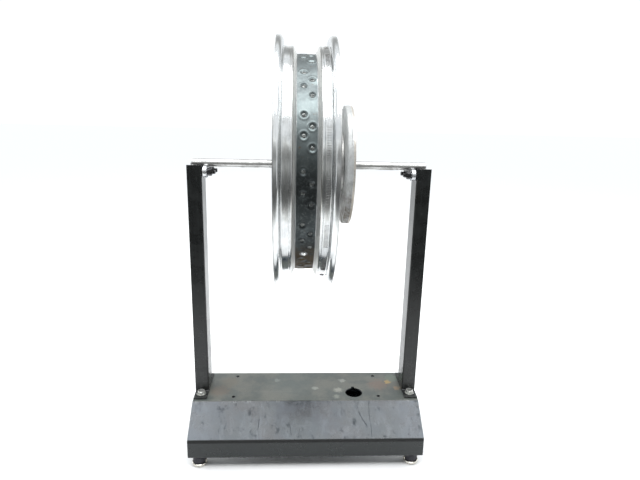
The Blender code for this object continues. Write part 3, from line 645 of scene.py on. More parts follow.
def rim_chrome():
    """Chrome with fine lines around the wheel, grimy outer edges, and a dark, matt and rusty well, painted
    lighter towards its top as painted light from above.
    """
    made = Finish("rim_chrome", metallic=1.0)
    radius = made.radius()
    around = made.noise(900.0, 3.0, 0.6, (1, 0.02, 0.02))
    clouds = made.noise(28.0, 5.0, 0.6)
    colour = made.mix(made.ramp(clouds, 0.35, 0.68), (0.72, 0.73, 0.73), (0.54, 0.56, 0.57))
    colour = made.mix(made.ramp(around, 0.50, 0.72, 0.0, 0.5), colour, (0.36, 0.37, 0.37))
    seat = made.between(radius, BEAD_RADIUS - 0.0012, BEAD_RADIUS + 0.0012, 0.0005)
    rubbed = made.ramp(made.noise(46.0, 5.0, 0.7, (1, 0.25, 0.25), 3.0), 0.46, 0.64)
    colour = made.mix(made.times(made.times(seat, rubbed), 0.45), colour, (0.34, 0.335, 0.31))
    from_middle = made.math("ABSOLUTE", made.minus(made.x, RIM_X))
    lip = made.ramp(from_middle, 0.0466, 0.0488)
    grime = made.ramp(made.noise(75.0, 5.0, 0.7, (1, 0.35, 0.35), 8.0), 0.34, 0.58, 0.55, 1.0)
    grime = made.times(lip, grime)
    colour = made.over(colour, grime, 0.85, (0.24, 0.24, 0.235))
    across = made.math("ABSOLUTE", made.minus(made.x, RIM_X + WELL_MID_X))
    in_width = made.ramp(across, WELL_HALF_WIDTH - 0.0009, WELL_HALF_WIDTH + 0.0006, 1.0, 0.0)
    in_depth = made.between(radius, WELL_RADIUS - 0.0024, WELL_RADIUS + 0.0092, 0.0006)
    well = made.times(in_width, in_depth)
    fine = made.noise(260.0, 5.0, 0.7)
    # Painted light: the well's colour runs by height from a shaded tone (low) below to a lit tone (high) at
    # its top.
    high = made.mix(made.ramp(clouds, 0.35, 0.65), (0.150, 0.176, 0.178), (0.100, 0.115, 0.118))
    low = made.mix(made.ramp(clouds, 0.35, 0.65), (0.050, 0.058, 0.060), (0.030, 0.034, 0.035))
    dull_and_painted_light = made.mix(made.ramp(made.z, -0.035, 0.115), low, high)
    dull_and_painted_light = made.mix(made.ramp(fine, 0.48, 0.75, 0.0, 0.22), dull_and_painted_light, (0.30, 0.33, 0.325))
    lower = made.ramp(made.z, -0.150, -0.100, 1.0, 0.0)
    brown = made.times(lower, made.ramp(made.noise(60.0, 5.0, 0.7, shift=6.0), 0.36, 0.58))
    dull_and_painted_light = made.mix(brown, dull_and_painted_light, (0.082, 0.062, 0.040))
    spots = made.ramp(made.noise(110.0, 6.0, 0.75, shift=2.0), 0.62, 0.70)
    dull_and_painted_light = made.over(dull_and_painted_light, spots, 0.7, (0.095, 0.062, 0.038))
    valve = wheel_turn(VALVE_ANGLE) @ Vector((RIM_X + VALVE_X, WELL_RADIUS, 0))
    bare = made.blotch(tuple(valve), 0.0066, 0.12, 300.0)
    well = made.times(well, made.minus(1.0, bare))
    colour = made.mix(well, colour, dull_and_painted_light)
    walls = made.between(across, WELL_HALF_WIDTH + 0.0002, WELL_HALF_WIDTH + WELL_SLOPE - 0.0004, 0.0004)
    walls = made.times(walls, made.ramp(radius, WELL_RADIUS + 0.0004, WELL_RADIUS + 0.0016))
    colour = made.over(colour, walls, 0.75, (0.66, 0.66, 0.64))
    edge = WELL_HALF_WIDTH + WELL_SLOPE
    line = made.between(across, edge - 0.0004, edge + 0.0007, 0.0003)
    line = made.times(line, made.ramp(radius, WELL_RADIUS, WELL_RADIUS + 0.004))
    colour = made.over(colour, line, 0.5, (0.20, 0.18, 0.14))
    rough = made.ramp(clouds, 0.35, 0.7, 0.09, 0.20)
    rough = made.plus(rough, made.ramp(around, 0.4, 0.7, 0.0, 0.08))
    rough = made.plus(rough, made.times(grime, 0.30))
    rough = made.plus(rough, made.times(walls, 0.38))
    rough = made.plus(rough, made.times(well, 0.26))
    rough = made.plus(rough, made.times(made.times(well, brown), 0.2))
    ripple = made.noise(24.0, 2.0, 0.5, (2.5, 0.3, 0.3), 5.0)
    bumps = [(ripple, 6e-4, 0.35), (around, 3e-5, 0.5), (made.times(fine, well), 1.2e-4, 0.6)]
    return made.finish(colour, rough, bumps)


def drum_iron():
    """Cast iron, painted darker low down as painted shade and rusting brown there, with a machined and
    tan-stained lip along its open edge.
    """
    made = Finish("drum_iron", metallic=0.35)
    cast = made.noise(330.0, 6.0, 0.75)
    clouds = made.noise(42.0, 5.0, 0.6)
    colour = made.mix(made.ramp(clouds, 0.35, 0.68), (0.66, 0.68, 0.68), (0.50, 0.515, 0.515))
    colour = made.mix(made.ramp(cast, 0.45, 0.70, 0.0, 0.4), colour, (0.28, 0.28, 0.28))
    low_down = made.ramp(made.z, -0.075, 0.0, 1.0, 0.1)
    rust = made.times(low_down, made.ramp(made.noise(75.0, 6.0, 0.7, shift=2.0), 0.40, 0.62))
    # Painted shade: the lower part of the drum is painted a darker grey, as shade from the light above; the
    # brown rust is laid over it.
    colour = made.over(colour, low_down, 0.75, (0.17, 0.165, 0.155))
    colour = made.over(colour, rust, 0.8, (0.120, 0.095, 0.070))
    lip = made.times(made.ramp(made.x, RIM_X + 0.0795, RIM_X + 0.0800),
                     made.ramp(made.radius(), 0.0955, 0.0965))
    turned = made.noise(1400.0, 2.0, 0.5, (1, 0.03, 0.03))
    tan_tone = made.mix(made.ramp(turned, 0.4, 0.7), (0.56, 0.50, 0.42), (0.34, 0.29, 0.23))
    colour = made.over(colour, lip, 0.60, tan_tone)
    rough = made.ramp(cast, 0.3, 0.7, 0.36, 0.52)
    rough = made.plus(rough, made.times(rust, 0.25))
    rough = made.minus(rough, made.times(lip, 0.14))
    rough_skin = made.times(cast, made.ramp(lip, 0, 1, 1.0, 0.15))
    return made.finish(colour, rough, [(clouds, 4e-4, 0.3), (rough_skin, 2.5e-4, 0.8), (turned, 2e-5, 0.3)])


def rubber():
    made = Finish("foot_rubber", specular=0.35)
    clouds = made.noise(140.0, 5.0, 0.65)
    colour = made.mix(made.ramp(clouds, 0.4, 0.7), (0.020, 0.020, 0.027), (0.050, 0.050, 0.060))
    pale_patches = made.ramp(made.noise(600.0, 4.0, 0.7), 0.55, 0.72, 0.0, 0.4)
    colour = made.mix(pale_patches, colour, (0.15, 0.15, 0.16))
    return made.finish(colour, made.ramp(clouds, 0.3, 0.7, 0.45, 0.65), [(clouds, 8e-5, 0.4)])


METALS = {  # light tone, dark tone, roughness from and to, scale of its clouds, then metal's other arguments
    "zinc": ((0.86, 0.87, 0.84), (0.58, 0.58, 0.55), (0.28, 0.42), 140.0, (0.30, 0.24, 0.17)),
    "black_oxide": ((0.075, 0.076, 0.080), (0.030, 0.030, 0.032), (0.30, 0.44), 150.0, (0.16, 0.12, 0.09)),
    "bearing_steel": ((0.70, 0.71, 0.72), (0.46, 0.47, 0.49), (0.20, 0.32), 90.0),
    "nickel": ((0.80, 0.78, 0.72), (0.56, 0.54, 0.48), (0.12, 0.24), 110.0, (0.24, 0.20, 0.15)),
    "arbor_steel": ((0.62, 0.62, 0.61), (0.36, 0.36, 0.35), (0.26, 0.40), 38.0, (0.17, 0.15, 0.13),
                    1100.0, 3e-5),
    "hub_aluminium": ((0.60, 0.60, 0.58), (0.38, 0.38, 0.37), (0.34, 0.50), 45.0, (0.15, 0.14, 0.12),
                      420.0, 1.2e-4),
    "spoke_steel": ((0.64, 0.64, 0.61), (0.36, 0.36, 0.34), (0.20, 0.36), 70.0, (0.19, 0.13, 0.08)),
    "cone_steel": ((0.66, 0.66, 0.65), (0.44, 0.44, 0.43), (0.18, 0.30), 80.0, (0.20, 0.17, 0.14), 1200.0),
    "nipple_heads": ((0.20, 0.21, 0.205), (0.07, 0.075, 0.075), (0.30, 0.46), 160.0, (0.09, 0.07, 0.05)),
    "knurl": ((0.26, 0.26, 0.255), (0.12, 0.12, 0.118), (0.34, 0.46), 120.0),
}
SLOT_OF = {"nipple_heads": "spoke_steel", "knurl": "rim_chrome"}  # for finishes that aren't slots themselves


def make_finishes():
    """Each finish with the record's slot that it belongs to."""
    made = {
        "base_paint": base_paint(),
        "upright_paint": upright_paint(),
        "foot_rubber": rubber(),
        "drum_iron": drum_iron(),
        "rim_chrome": rim_chrome(),
    }
    made.update({name: metal(name, *tones) for name, tones in METALS.items()})
    return {name: (material, SLOT_OF.get(name, name)) for name, material in made.items()}


looks = make_finishes()


# ---- base and uprights


def make_base():
    half = [
        (BASE_HIGH.y - RETURN_WIDTH, FOOT_HEIGHT),
        (BASE_HIGH.y, FOOT_HEIGHT),
        (BASE_HIGH.y, LIP_TOP_Z),
        (TOP_HALF_DEPTH, TOP_Z),
    ]
    corners = [(-y, z) for y, z in half] + half[::-1]
    shell = Shell()
    along_x = Matrix(((0, 0, 1, BASE_LOW.x), (1, 0, 0, 0), (0, 1, 0, 0), (0, 0, 0, 1)))
    shell.add_prism(folded_outline(corners, BASE_BEND, STEEL), BASE_HIGH.x - BASE_LOW.x, along_x)
    mesh = mesh_of("base", shell)
    holes = Shell()
    depth, above = 4 * STEEL, TOP_Z - STEEL / 2
    spare_x, spare_y, spare_radius = SPARE_HOLES
    for side, front in CORNERS:
        drill(holes, (side * TAB_BOLT_X, front * TAB_BOLT_Y, above), BOLT_HOLE_RADIUS, depth, turn=UPWARDS)
        drill(holes, (side * spare_x, front * spare_y, above), spare_radius, depth, turn=UPWARDS)
        stud = (side * FOOT_AT.x, front * FOOT_AT.y, FOOT_HEIGHT + STEEL / 2)
        drill(holes, stud, STUD_RADIUS + GAP, depth, turn=UPWARDS)
    x, y, radius = CABLE_HOLE
    notch, reach = CABLE_NOTCH
    swing = atan2(notch, radius)
    outline = arc((x, y), radius, pi / 2 + swing, pi / 2 - swing + 2 * pi, 56)
    outline += [(x + notch, y + radius + reach), (x - notch, y + radius + reach)]
    holes.add_prism(outline, depth, Matrix.Translation((0, 0, above - depth / 2)))
    mesh = combine(mesh, "DIFFERENCE", holes)
    add_piece("base_plate_sheet", mesh, "stand", looks["base_paint"], ["base_plate"], bevel=0.0005)


def make_upright(side):
    inner, outer, half = UPRIGHT_INNER_X, UPRIGHT_OUTER_X, UPRIGHT_HALF_DEPTH
    bottom = UPRIGHT_LOW.z
    web_bottom = bottom + GAP + 0.001
    section = [(-outer, half), (-inner, half), (-inner, -half), (-outer, -half)]
    shell = Shell()
    height = UPRIGHT_TOP_Z - web_bottom
    placed = Matrix.Translation((0, 0, web_bottom))
    shell.add_prism(folded_outline(section, UPRIGHT_BEND, STEEL), height, placed)
    mesh = mesh_of("upright", shell)
    tabs = Shell()
    top, buried = bottom + STEEL, half - STEEL / 2
    fillet = arc((half + TAB_BEND, top + TAB_BEND), TAB_BEND, 1.5 * pi, pi, 7)
    outline = [(TAB_REACH_Y, bottom), (TAB_REACH_Y, top)] + fillet[:-1]
    outline += [(half - TAB_INSET, top + TAB_BEND), (buried, top + TAB_BEND), (buried, bottom)]
    for front in (FRONT, BACK):
        start = -outer + TAB_INSET
        placed = Matrix(((0, 0, 1, start), (front, 0, 0, 0), (0, 1, 0, 0), (0, 0, 0, 1)))
        tabs.add_prism(outline, outer - inner - 2 * TAB_INSET, placed)
    mesh = combine(mesh, "UNION", tabs)
    holes = Shell()
    web = -inner - STEEL / 2
    drill(holes, (web, 0, AXIS_Z), ARBOR_NOTCH_RADIUS, 4 * STEEL, 56)
    for front in (FRONT, BACK):
        drill(holes, (web, front * ROLLER_AT.y, ROLLER_AT.z), BOLT_HOLE_RADIUS, 4 * STEEL)
        tab = (-TAB_BOLT_X, front * TAB_BOLT_Y, bottom + STEEL / 2)
        drill(holes, tab, BOLT_HOLE_RADIUS, 4 * STEEL, turn=UPWARDS)
    mesh = combine(mesh, "DIFFERENCE", holes)
    if side == RIGHT:
        mesh.transform(Matrix.Rotation(pi, 4, "Z"))
    name = SIDE_NAMES[side]
    node = f"upright_{name}"
    add_piece(f"{node}_channel", mesh, "stand", looks["upright_paint"], [node], bevel=0.0004)


# ---- fasteners, rollers and feet


def washer_section(inner, outer, thickness, edge=0.0003):
    corners = [(0, inner, edge), (0, outer, edge), (thickness, outer, edge), (thickness, inner, edge)]
    return rounded(corners, 2)


def nut_section(bore, across_flats, height, collar=0.0, collar_radius=0.0058):
    """A nut with countersunk ends, on a round collar if it has one."""
    section = [(0, bore + 0.0004)]
    if collar:
        section += [(0, collar_radius - 0.0002), (0.0002, collar_radius), (collar, collar_radius)]
    section += hexagon(across_flats, collar, height)
    return section + [(height, bore + 0.0004), (height - 0.0004, bore), (0.0004, bore)]


def bolt_section(length, threaded_from):
    """A hexagon bolt whose seat is at 0, with a shallow dish in its head and a thread on its end."""
    head = [(-HEAD_HEIGHT + 0.0005, 0), (-HEAD_HEIGHT + 0.0005, 0.0038), (-HEAD_HEIGHT, 0.0046)]
    head += hexagon(HEX_ACROSS_FLATS, -HEAD_HEIGHT, -0.0004) + [(-0.0004, 0.0058), (0, 0.0058)]
    shank = [(0, BOLT_RADIUS + 0.0001), (threaded_from, BOLT_RADIUS)]
    screw = thread(threaded_from, length, BOLT_RADIUS, BOLT_PITCH, 0.0006)
    return head + shank + screw + [(length, 0)]


def make_tab_fasteners(side, front):
    name = corner_name(side, front)
    x, y = side * TAB_BOLT_X, front * TAB_BOLT_Y
    washer, bolt, nut = f"tab_washer_{name}", f"tab_bolt_{name}", f"tab_nut_{name}"
    low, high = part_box(washer)
    section = washer_section(BOLT_HOLE_RADIUS, high.x - x, 0.0016)
    add_node(washer, "ring", turned(section, 40, standing(x, y, low.z)), "stand", "zinc")
    low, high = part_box(bolt)
    seat = high.z - HEAD_HEIGHT
    downwards = Matrix.Rotation(pi / 2, 4, "Y") @ Matrix.Rotation(radians(11 * side), 4, "X")
    placed = Matrix.Translation((x, y, seat)) @ downwards
    add_node(bolt, "screw", turned(bolt_section(seat - low.z, 0.004), 36, placed), "stand", "zinc")
    section = nut_section(BOLT_HOLE_RADIUS, HEX_ACROSS_FLATS, 0.0065)
    add_node(nut, "hex", turned(section, 36, standing(x, y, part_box(nut)[0].z)), "stand", "zinc")


def bearing_section(width):
    """The outer ring of a shielded bearing, with rounded shoulders and a pressed groove in each shield."""
    half = [
        (0.0009, 0.0063, 0.0001),
        (0.0006, 0.0066, 0.0001),
        (0.0006, 0.0072, 0.0002),
        (0.0009, 0.0076, 0.0002),
        (0.0009, 0.0082, 0.0002),
        (0.0006, 0.0086, 0.0002),
        (0.0006, 0.0091, 0.0001),
        (0.0000, 0.0093, 0.0002),
        (0.0000, ROLLER_RADIUS, 0.0006),
    ]
    mirrored = [(width - x, radius, edge) for x, radius, edge in half[::-1]]
    return rounded(half + mirrored, 3)


def make_roller(side, front):
    """What is on one roller's bolt. Each piece starts where its node does, seen from the upright's web."""
    name = corner_name(side, front)

    def add(kind, suffix, section_for, sides, look, body="stand", shift=0.0):
        node = f"{kind}_{name}"
        low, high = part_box(node)
        start = Vector((low.x if side == LEFT else high.x, front * ROLLER_AT.y, ROLLER_AT.z))
        placed = Matrix.Translation(start) @ facing(side) @ Matrix.Translation((shift, 0, 0))
        add_node(node, suffix, turned(section_for(high.x - low.x), sides, placed), body, look)

    def bolt(length):
        return bolt_section(length - HEAD_HEIGHT, 0.012)

    def spacer(length):
        return washer_section(BOLT_HOLE_RADIUS, 0.0058, length, 0.0002)

    def inner_ring(length):
        return washer_section(BOLT_HOLE_RADIUS, 0.006, length)

    def nut(length):
        return nut_section(BOLT_HOLE_RADIUS, HEX_ACROSS_FLATS, length, 0.0015)

    add("roller_bolt", "screw", bolt, 36, "black_oxide", shift=HEAD_HEIGHT)
    add("roller_spacer", "ring", spacer, 36, "zinc")
    add("roller_inner_ring", "race", inner_ring, 48, "bearing_steel")
    add("roller_nut", "hex", nut, 36, "black_oxide")
    add("roller_outer_ring", "race", bearing_section, 72, "bearing_steel", f"roller_{name}")


def glide_section():
    """A nickel-plated levelling glide: a rounded bowl with a rolled rim, and its threaded stud."""
    bowl = [(0, 0.0112), (0.0003, 0.0120)] + arc((0.0030, 0.0112), 0.0028, radians(200), radians(95), 6)[1:]
    bowl += [(0.0048, 0.0139), (0.0056, 0.0136), (0.0060, 0.0130), (0.0056, 0.0124), (0.0044, 0.0112)]
    bowl += [(0.0042, 0.0075), (0.0056, 0.0062), (0.0059, 0.0056)]
    bowl = [(x, min(radius, 0.0140)) for x, radius in bowl]
    stud = [(0.0060, STUD_RADIUS)] + thread(0.0200, STUD_TOP_Z, STUD_RADIUS, STUD_PITCH, 0.0008)
    return [(0, 0)] + bowl + stud + [(STUD_TOP_Z, 0)]


def make_foot(side, front):
    name = corner_name(side, front)
    glide, collar, nut = f"foot_glide_{name}", f"foot_collar_{name}", f"foot_jam_nut_{name}"
    x, y = side * FOOT_AT.x, front * FOOT_AT.y
    add_node(glide, "disc", turned(glide_section(), 40, standing(x, y, 0)), f"foot_{name}", "nickel")
    low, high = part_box(collar)
    height, outer, bore = high.z - low.z, high.x - x, STUD_RADIUS + GAP

    def ribbed(height_at, radius):
        return lambda angle: (height_at, radius - 0.00045 * (0.5 + 0.5 * cos(24 * angle)))

    section = [(0, bore), (0, outer - 0.0012), ribbed(0.0008, outer - 0.0003), ribbed(0.0014, outer)]
    section += [ribbed(height - 0.0014, outer), ribbed(height - 0.0006, outer - 0.0004)]
    section += [(height, outer - 0.0013), (height, bore)]
    add_node(collar, "grip", turned(section, 96, standing(x, y, low.z)), f"foot_{name}", "foot_rubber")
    low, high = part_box(nut)
    section = nut_section(bore, 0.017, high.z - low.z)
    add_node(nut, "hex", turned(section, 36, standing(x, y, low.z)), "stand", "zinc")


# ---- rim


def rim_half(side, lift):
    """One half's (x, radius, fillet) corners from the well to the lip, lifted inwards by a distance."""
    crown = (BEAD_HALF_WIDTH + FLANGE_ROLL, RIM_TOP_RADIUS - FLANGE_ROLL)
    roll = FLANGE_ROLL - lift
    lip_angle = acos(LIP_REACH / FLANGE_ROLL)
    well = side * WELL_MID_X + WELL_HALF_WIDTH
    shift = 0.55 * lift
    bead, wall = BEAD_RADIUS - lift, BEAD_HALF_WIDTH + lift
    points = [(well + shift, WELL_RADIUS - lift, 0.0022), (well + WELL_SLOPE + shift, bead - 0.0009, 0.0022)]
    if lift == 0:
        # A low hump beside the well, and a slight taper up to the flange
        shoulder = well + WELL_SLOPE
        points += [(shoulder + 0.0026, bead + 0.0003, 0.002), (shoulder + 0.0052, bead - 0.0008, 0.002)]
    points += [(wall, bead + 0.0003, 0.0036 + 0.6 * lift)]
    steps = 10 if lift == 0 else 6
    points += [(x, radius, 0) for x, radius in arc(crown, roll, pi, lip_angle, steps)]
    return [(side * x, radius, fillet) for x, radius, fillet in points]


def rim_outline():
    """The rim's closed section, with the well's floor divided finely enough to carry the dimples."""
    outside = rim_half(LEFT, 0)[::-1] + rim_half(RIGHT, 0)
    inside = rim_half(LEFT, RIM_WALL)[::-1] + rim_half(RIGHT, RIM_WALL)
    points = []
    outline = rounded(outside + inside[::-1], 4)
    for (x, radius), (next_x, next_radius) in zip(outline, outline[1:] + outline[:1]):
        along, up = next_x - x, next_radius - radius
        is_floor = abs(up) < 1e-6 and radius < WELL_RADIUS + 1e-4 and abs(along) > 0.01
        steps = WELL_COLUMNS if is_floor else 1
        points += [(x + along * k / steps, radius + up * k / steps) for k in range(steps)]
    return np.array(points)


def nipple_places():
    """(side, angle, direction in which the spoke leans) of each nipple."""
    for group in range(SPOKE_GROUPS):
        middle = GROUP_START + 2 * pi * group / SPOKE_GROUPS
        yield LEFT, middle + GROUP_OUTER, 1
        yield LEFT, middle - GROUP_INNER, -1
        yield RIGHT, middle + GROUP_INNER, 1
        yield RIGHT, middle - GROUP_OUTER, -1


def dimple_depth(distance):
    """How far a point of the well is pressed in, by its distance from the nearest nipple."""
    share = np.clip((distance - 0.0022) / (DIMPLE_RADIUS - 0.0032), 0, 1)
    bowl = DIMPLE_DEPTH * 0.5 * (1 + np.cos(pi * share))
    brim = 0.0006 * np.exp(-(((distance - DIMPLE_RADIUS) / 0.0014) ** 2))
    return bowl - brim


def make_rim():
    outline = rim_outline()
    angles = 2 * pi * np.arange(RIM_SIDES) / RIM_SIDES  # above the horizontal front
    x = np.repeat(outline[:, :1], RIM_SIDES, axis=1)
    radius = np.repeat(outline[:, 1:], RIM_SIDES, axis=1)
    nearest = np.full(x.shape, 1.0)
    for side, angle, _ in nipple_places():
        swing = (angles - angle + pi) % (2 * pi) - pi
        nearest = np.minimum(nearest, np.hypot(x - NIPPLES_X[side], swing[None, :] * WELL_RADIUS))
    in_well = (radius < WELL_RADIUS + 0.0012) & (np.abs(x - WELL_MID_X) < WELL_HALF_WIDTH + 0.003)
    radius = radius - np.where(in_well, dimple_depth(nearest), 0)
    points = np.stack([x + RIM_X, -radius * np.cos(angles), radius * np.sin(angles)], axis=-1)
    shell = Shell()
    shell.add_rings([[Vector(point) for point in ring] for ring in points], loop=True)
    mesh = mesh_of("rim", shell)
    hole = Shell()
    outwards = wheel_turn(VALVE_ANGLE) @ Matrix.Translation((RIM_X + VALVE_X, WELL_RADIUS - RIM_WALL / 2, 0))
    hole.add_turned([(-0.004, 0), (-0.004, VALVE_HOLE_RADIUS), (0.004, VALVE_HOLE_RADIUS), (0.004, 0)], 28,
                    outwards @ Matrix.Rotation(pi / 2, 4, "Z"))
    mesh = combine(mesh, "DIFFERENCE", hole)
    add_piece("rim_hoop", mesh, "wheel", looks["rim_chrome"], ["rim"], WHEEL_ORIGIN, angle=50)


def make_knurl():
    """Short patches of fine ribs on the right bead seat, which grip the tyre's bead."""
    shell = Shell()
    foot, ridge, height, sunk = 0.00045, 0.0001, 0.0004, -0.0002
    section = [(-foot, sunk), (-ridge, height), (ridge, height), (foot, sunk), (0, -0.0009)]
    (start, end), taper = KNURL_X, 0.105
    for patch in range(KNURL_PATCHES):
        for rib in range(KNURL_RIBS):
            along = (rib - (KNURL_RIBS - 1) / 2) * KNURL_PITCH / BEAD_RADIUS
            turn = wheel_turn(KNURL_START + 2 * pi * patch / KNURL_PATCHES + along)
            rings = []
            for x, share in ((start, 0.1), (start + 0.0005, 1), (end - 0.0005, 1), (end, 0.1)):
                seat = BEAD_RADIUS + 0.0003 - (BEAD_HALF_WIDTH - x) * taper
                profile = [(RIM_X + x, seat + rise * share, across) for across, rise in section]
                rings.append([turn @ Vector(point) for point in profile])
            ends = [sum(ring, Vector()) / len(section) for ring in (rings[0], rings[-1])]
            shell.add_rings([ends[:1], *rings, ends[1:]])
    add_piece("rim_bead_knurl", shell, "wheel", looks["knurl"], origin=WHEEL_ORIGIN)


# ---- spokes, hub, drum, cones, arbor


def nipple_section():
    """A nipple from inside the rim's wall (0) down its square shank to the spoke (NIPPLE_LENGTH)."""
    end = NIPPLE_LENGTH

    def square(at, across):
        return lambda angle: (at, min(across / 2 / cos((angle + pi / 4) % (pi / 2) - pi / 4), across * 0.62))

    section = [(-0.0022, 0), (-0.0022, 0.0027), (0.0006, 0.0031), (0.0014, 0.0031), square(0.0020, 0.0056)]
    section += [square(0.0095, 0.0056), (0.0104, 0.0028), (end - 0.0005, 0.0027), (end, 0.0023), (end, 0)]
    return section


def add_nipple_head(shell, side, angle):
    """A slotted dome at the bottom of the nipple's dimple."""
    base = WELL_RADIUS - DIMPLE_DEPTH - 0.0005
    head_radius, dome = 0.0037, 0.0017
    turn = wheel_turn(angle) @ Matrix.Translation((RIM_X + NIPPLES_X[side], base, 0))
    slot_turn = (angle * 37) % pi
    rings = []
    for share in (1.0, 0.97, 0.86, 0.66, 0.42, 0.2):
        ring = []
        for k in range(28):
            a = 2 * pi * k / 28
            u, v = head_radius * share * cos(a), head_radius * share * sin(a)
            across = abs(u * sin(slot_turn) - v * cos(slot_turn))
            height = 0 if share == 1 else dome * sqrt(1 - 0.8 * share**2)
            ring.append(turn @ Vector((u, height - (0.0007 if across < 0.00062 and share < 1 else 0), v)))
        rings.append(ring)
    rings.append([turn @ Vector((0, dome - 0.0007, 0))])
    shell.add_rings([[turn @ Vector((0, -0.0004, 0))]] + rings)


def make_spokes(side):
    """One side's spokes. Those that lean forwards start inside the hub's flange, and the others outside."""
    shell, heads = Shell(), Shell()
    outer_face, inner_face = HUB_FLANGE[side]
    outwards = 1 if outer_face > inner_face else -1
    for this_side, angle, lean in nipple_places():
        if this_side != side:
            continue
        near, far = (inner_face, outer_face) if lean == 1 else (outer_face, inner_face)
        away = -outwards if lean == 1 else outwards
        hub = wheel_turn(angle + lean * SPOKE_LEAD)
        at_hub = [(far - away * 0.0016, SPOKE_CIRCLE[side]), (far - away * 0.0003, SPOKE_CIRCLE[side])]
        at_hub += [(near, SPOKE_CIRCLE[side]), (near + away * 0.0012, SPOKE_CIRCLE[side])]
        path = [hub @ Vector((RIM_X + x, radius, 0)) for x, radius in at_hub]
        seat = hub @ Vector((RIM_X + near + away * (SPOKE_RADIUS + 0.0004), SPOKE_CIRCLE[side], 0))
        rim_end = wheel_turn(angle) @ Vector((RIM_X + NIPPLES_X[side], NIPPLE_END_RADIUS, 0))
        aim = (rim_end - seat).normalized()
        path += [seat + aim * 0.0006, seat + aim * 0.0022, seat + aim * 0.005]
        path.append(rim_end - aim * (NIPPLE_LENGTH - 0.001))
        shell.add_tube(path, SPOKE_RADIUS)
        head = hub @ Matrix.Translation((RIM_X + far - away * 0.0004, SPOKE_CIRCLE[side], 0))
        button = [(0, 0), (0, 0.0034), (0.0008, 0.0034), (0.0016, 0.0026), (0.0020, 0.0012), (0.0021, 0)]
        shell.add_turned([(-away * x, radius) for x, radius in button], 14, head)
        inwards = Vector((1, 0, 0)).rotation_difference(-aim).to_matrix().to_4x4()
        shell.add_turned(nipple_section(), 16, Matrix.Translation(rim_end) @ inwards)
        add_nipple_head(heads, side, angle)
    node = f"spokes_{SIDE_NAMES[side]}"
    heads_look, wires_look = looks["nipple_heads"], looks["spoke_steel"]
    add_piece(f"{node}_nipple_heads", heads, "wheel", heads_look, origin=WHEEL_ORIGIN, angle=40)
    add_piece(f"{node}_wires", shell, "wheel", wires_look, [node], WHEEL_ORIGIN, angle=40)


def make_hub():
    barrel, nose, spigot, waist = 0.028, 0.027, 0.022, 0.026
    seat_bore, bore, seat_depth = 0.020, 0.012, 0.015
    left_end, right_end = HUB_ENDS
    (left_outer, left_inner), (right_outer, right_inner) = HUB_FLANGE[LEFT], HUB_FLANGE[RIGHT]
    left_radius, right_radius = HUB_FLANGE_RADIUS[LEFT], HUB_FLANGE_RADIUS[RIGHT]
    drum_seat = DRUM_X[0] - GAP
    corners = [
        (left_end, nose, 0.001), (left_outer, nose, 0.001),
        (left_outer, left_radius, 0.0012), (left_inner, left_radius, 0.0012),
        (left_inner, barrel + 0.006, 0.004), (left_inner + 0.010, waist, 0.008),
        (right_inner - 0.014, waist, 0.008), (right_inner, barrel + 0.008, 0.004),
        (right_inner, right_radius, 0.0012), (right_outer, right_radius, 0.0012),
        (right_outer, 1.2 * barrel, 0.003), (drum_seat - 0.005, 1.2 * barrel, 0.003),
        (drum_seat - 0.005, right_radius, 0.001), (drum_seat, right_radius, 0.0006),
        (drum_seat, spigot, 0.0004), (right_end, spigot, 0.0006), (right_end, seat_bore, 0.0004),
        (right_end - seat_depth, seat_bore, 0.0006), (right_end - seat_depth, bore, 0.0006),
        (left_end + seat_depth, bore, 0.0006), (left_end + seat_depth, seat_bore, 0.0006),
        (left_end, seat_bore, 0.0004),
    ]
    shape = turned(rounded(corners, 4), 128, Matrix.Translation((RIM_X, 0, 0)))
    add_node("hub_shell", "casting", shape, "wheel", "hub_aluminium", WHEEL_ORIGIN)


def make_drum():
    left, right = DRUM_X
    outer = DRUM_RADIUS
    corners = [
        (left, 0.0223, 0.0003), (left, outer - 0.012, 0.001), (left + 0.0008, outer - 0.010, 0.001),
        (left + 0.0008, outer - 0.0022, 0.001), (left + 0.0018, outer - 0.0004, 0.001),
        (left + 0.0076, outer, 0.0006), (left + 0.0080, outer - 0.0006, 0.0002),
        (left + 0.0085, outer - 0.0006, 0.0002), (left + 0.0088, outer - 0.0001, 0.0003),
        (right - 0.0006, outer - 0.0001, 0.0008), (right, outer - 0.0010, 0.0006),
        (right, 0.0970, 0.0006), (right - 0.0030, 0.0965, 0.0004),
        (left + 0.0065, 0.0961, 0.002), (left + 0.0052, 0.0900, 0.002), (left + 0.0050, 0.0600, 0.001),
        (left + 0.0062, 0.0560, 0.001), (left + 0.0062, 0.0330, 0.001), (left + 0.0050, 0.0300, 0.001),
        (left + 0.0050, 0.0223, 0.0003),
    ]
    shape = turned(rounded(corners, 3), 240, Matrix.Translation((RIM_X, 0, 0)))
    add_node("brake_drum", "casting", shape, "wheel", "drum_iron", WHEEL_ORIGIN)
    screws = Shell()
    seat = Matrix.Translation((RIM_X + left + 0.0062, 0.045, 0))
    flange = [(0, 0), (0, 0.0082), (0.0008, 0.0082), (0.0012, 0.0072)]
    head = hexagon(0.012, 0.0012, 0.0062) + [(0.0058, 0.0044), (0.0058, 0)]
    for index in range(5):
        placed = wheel_turn(radians(18 + 72 * index)) @ seat @ Matrix.Rotation(0.3 * index, 4, "X")
        screws.add_turned(flange + head, 36, placed)
    add_piece("brake_drum_screws", screws, "wheel", looks["zinc"], origin=WHEEL_ORIGIN)


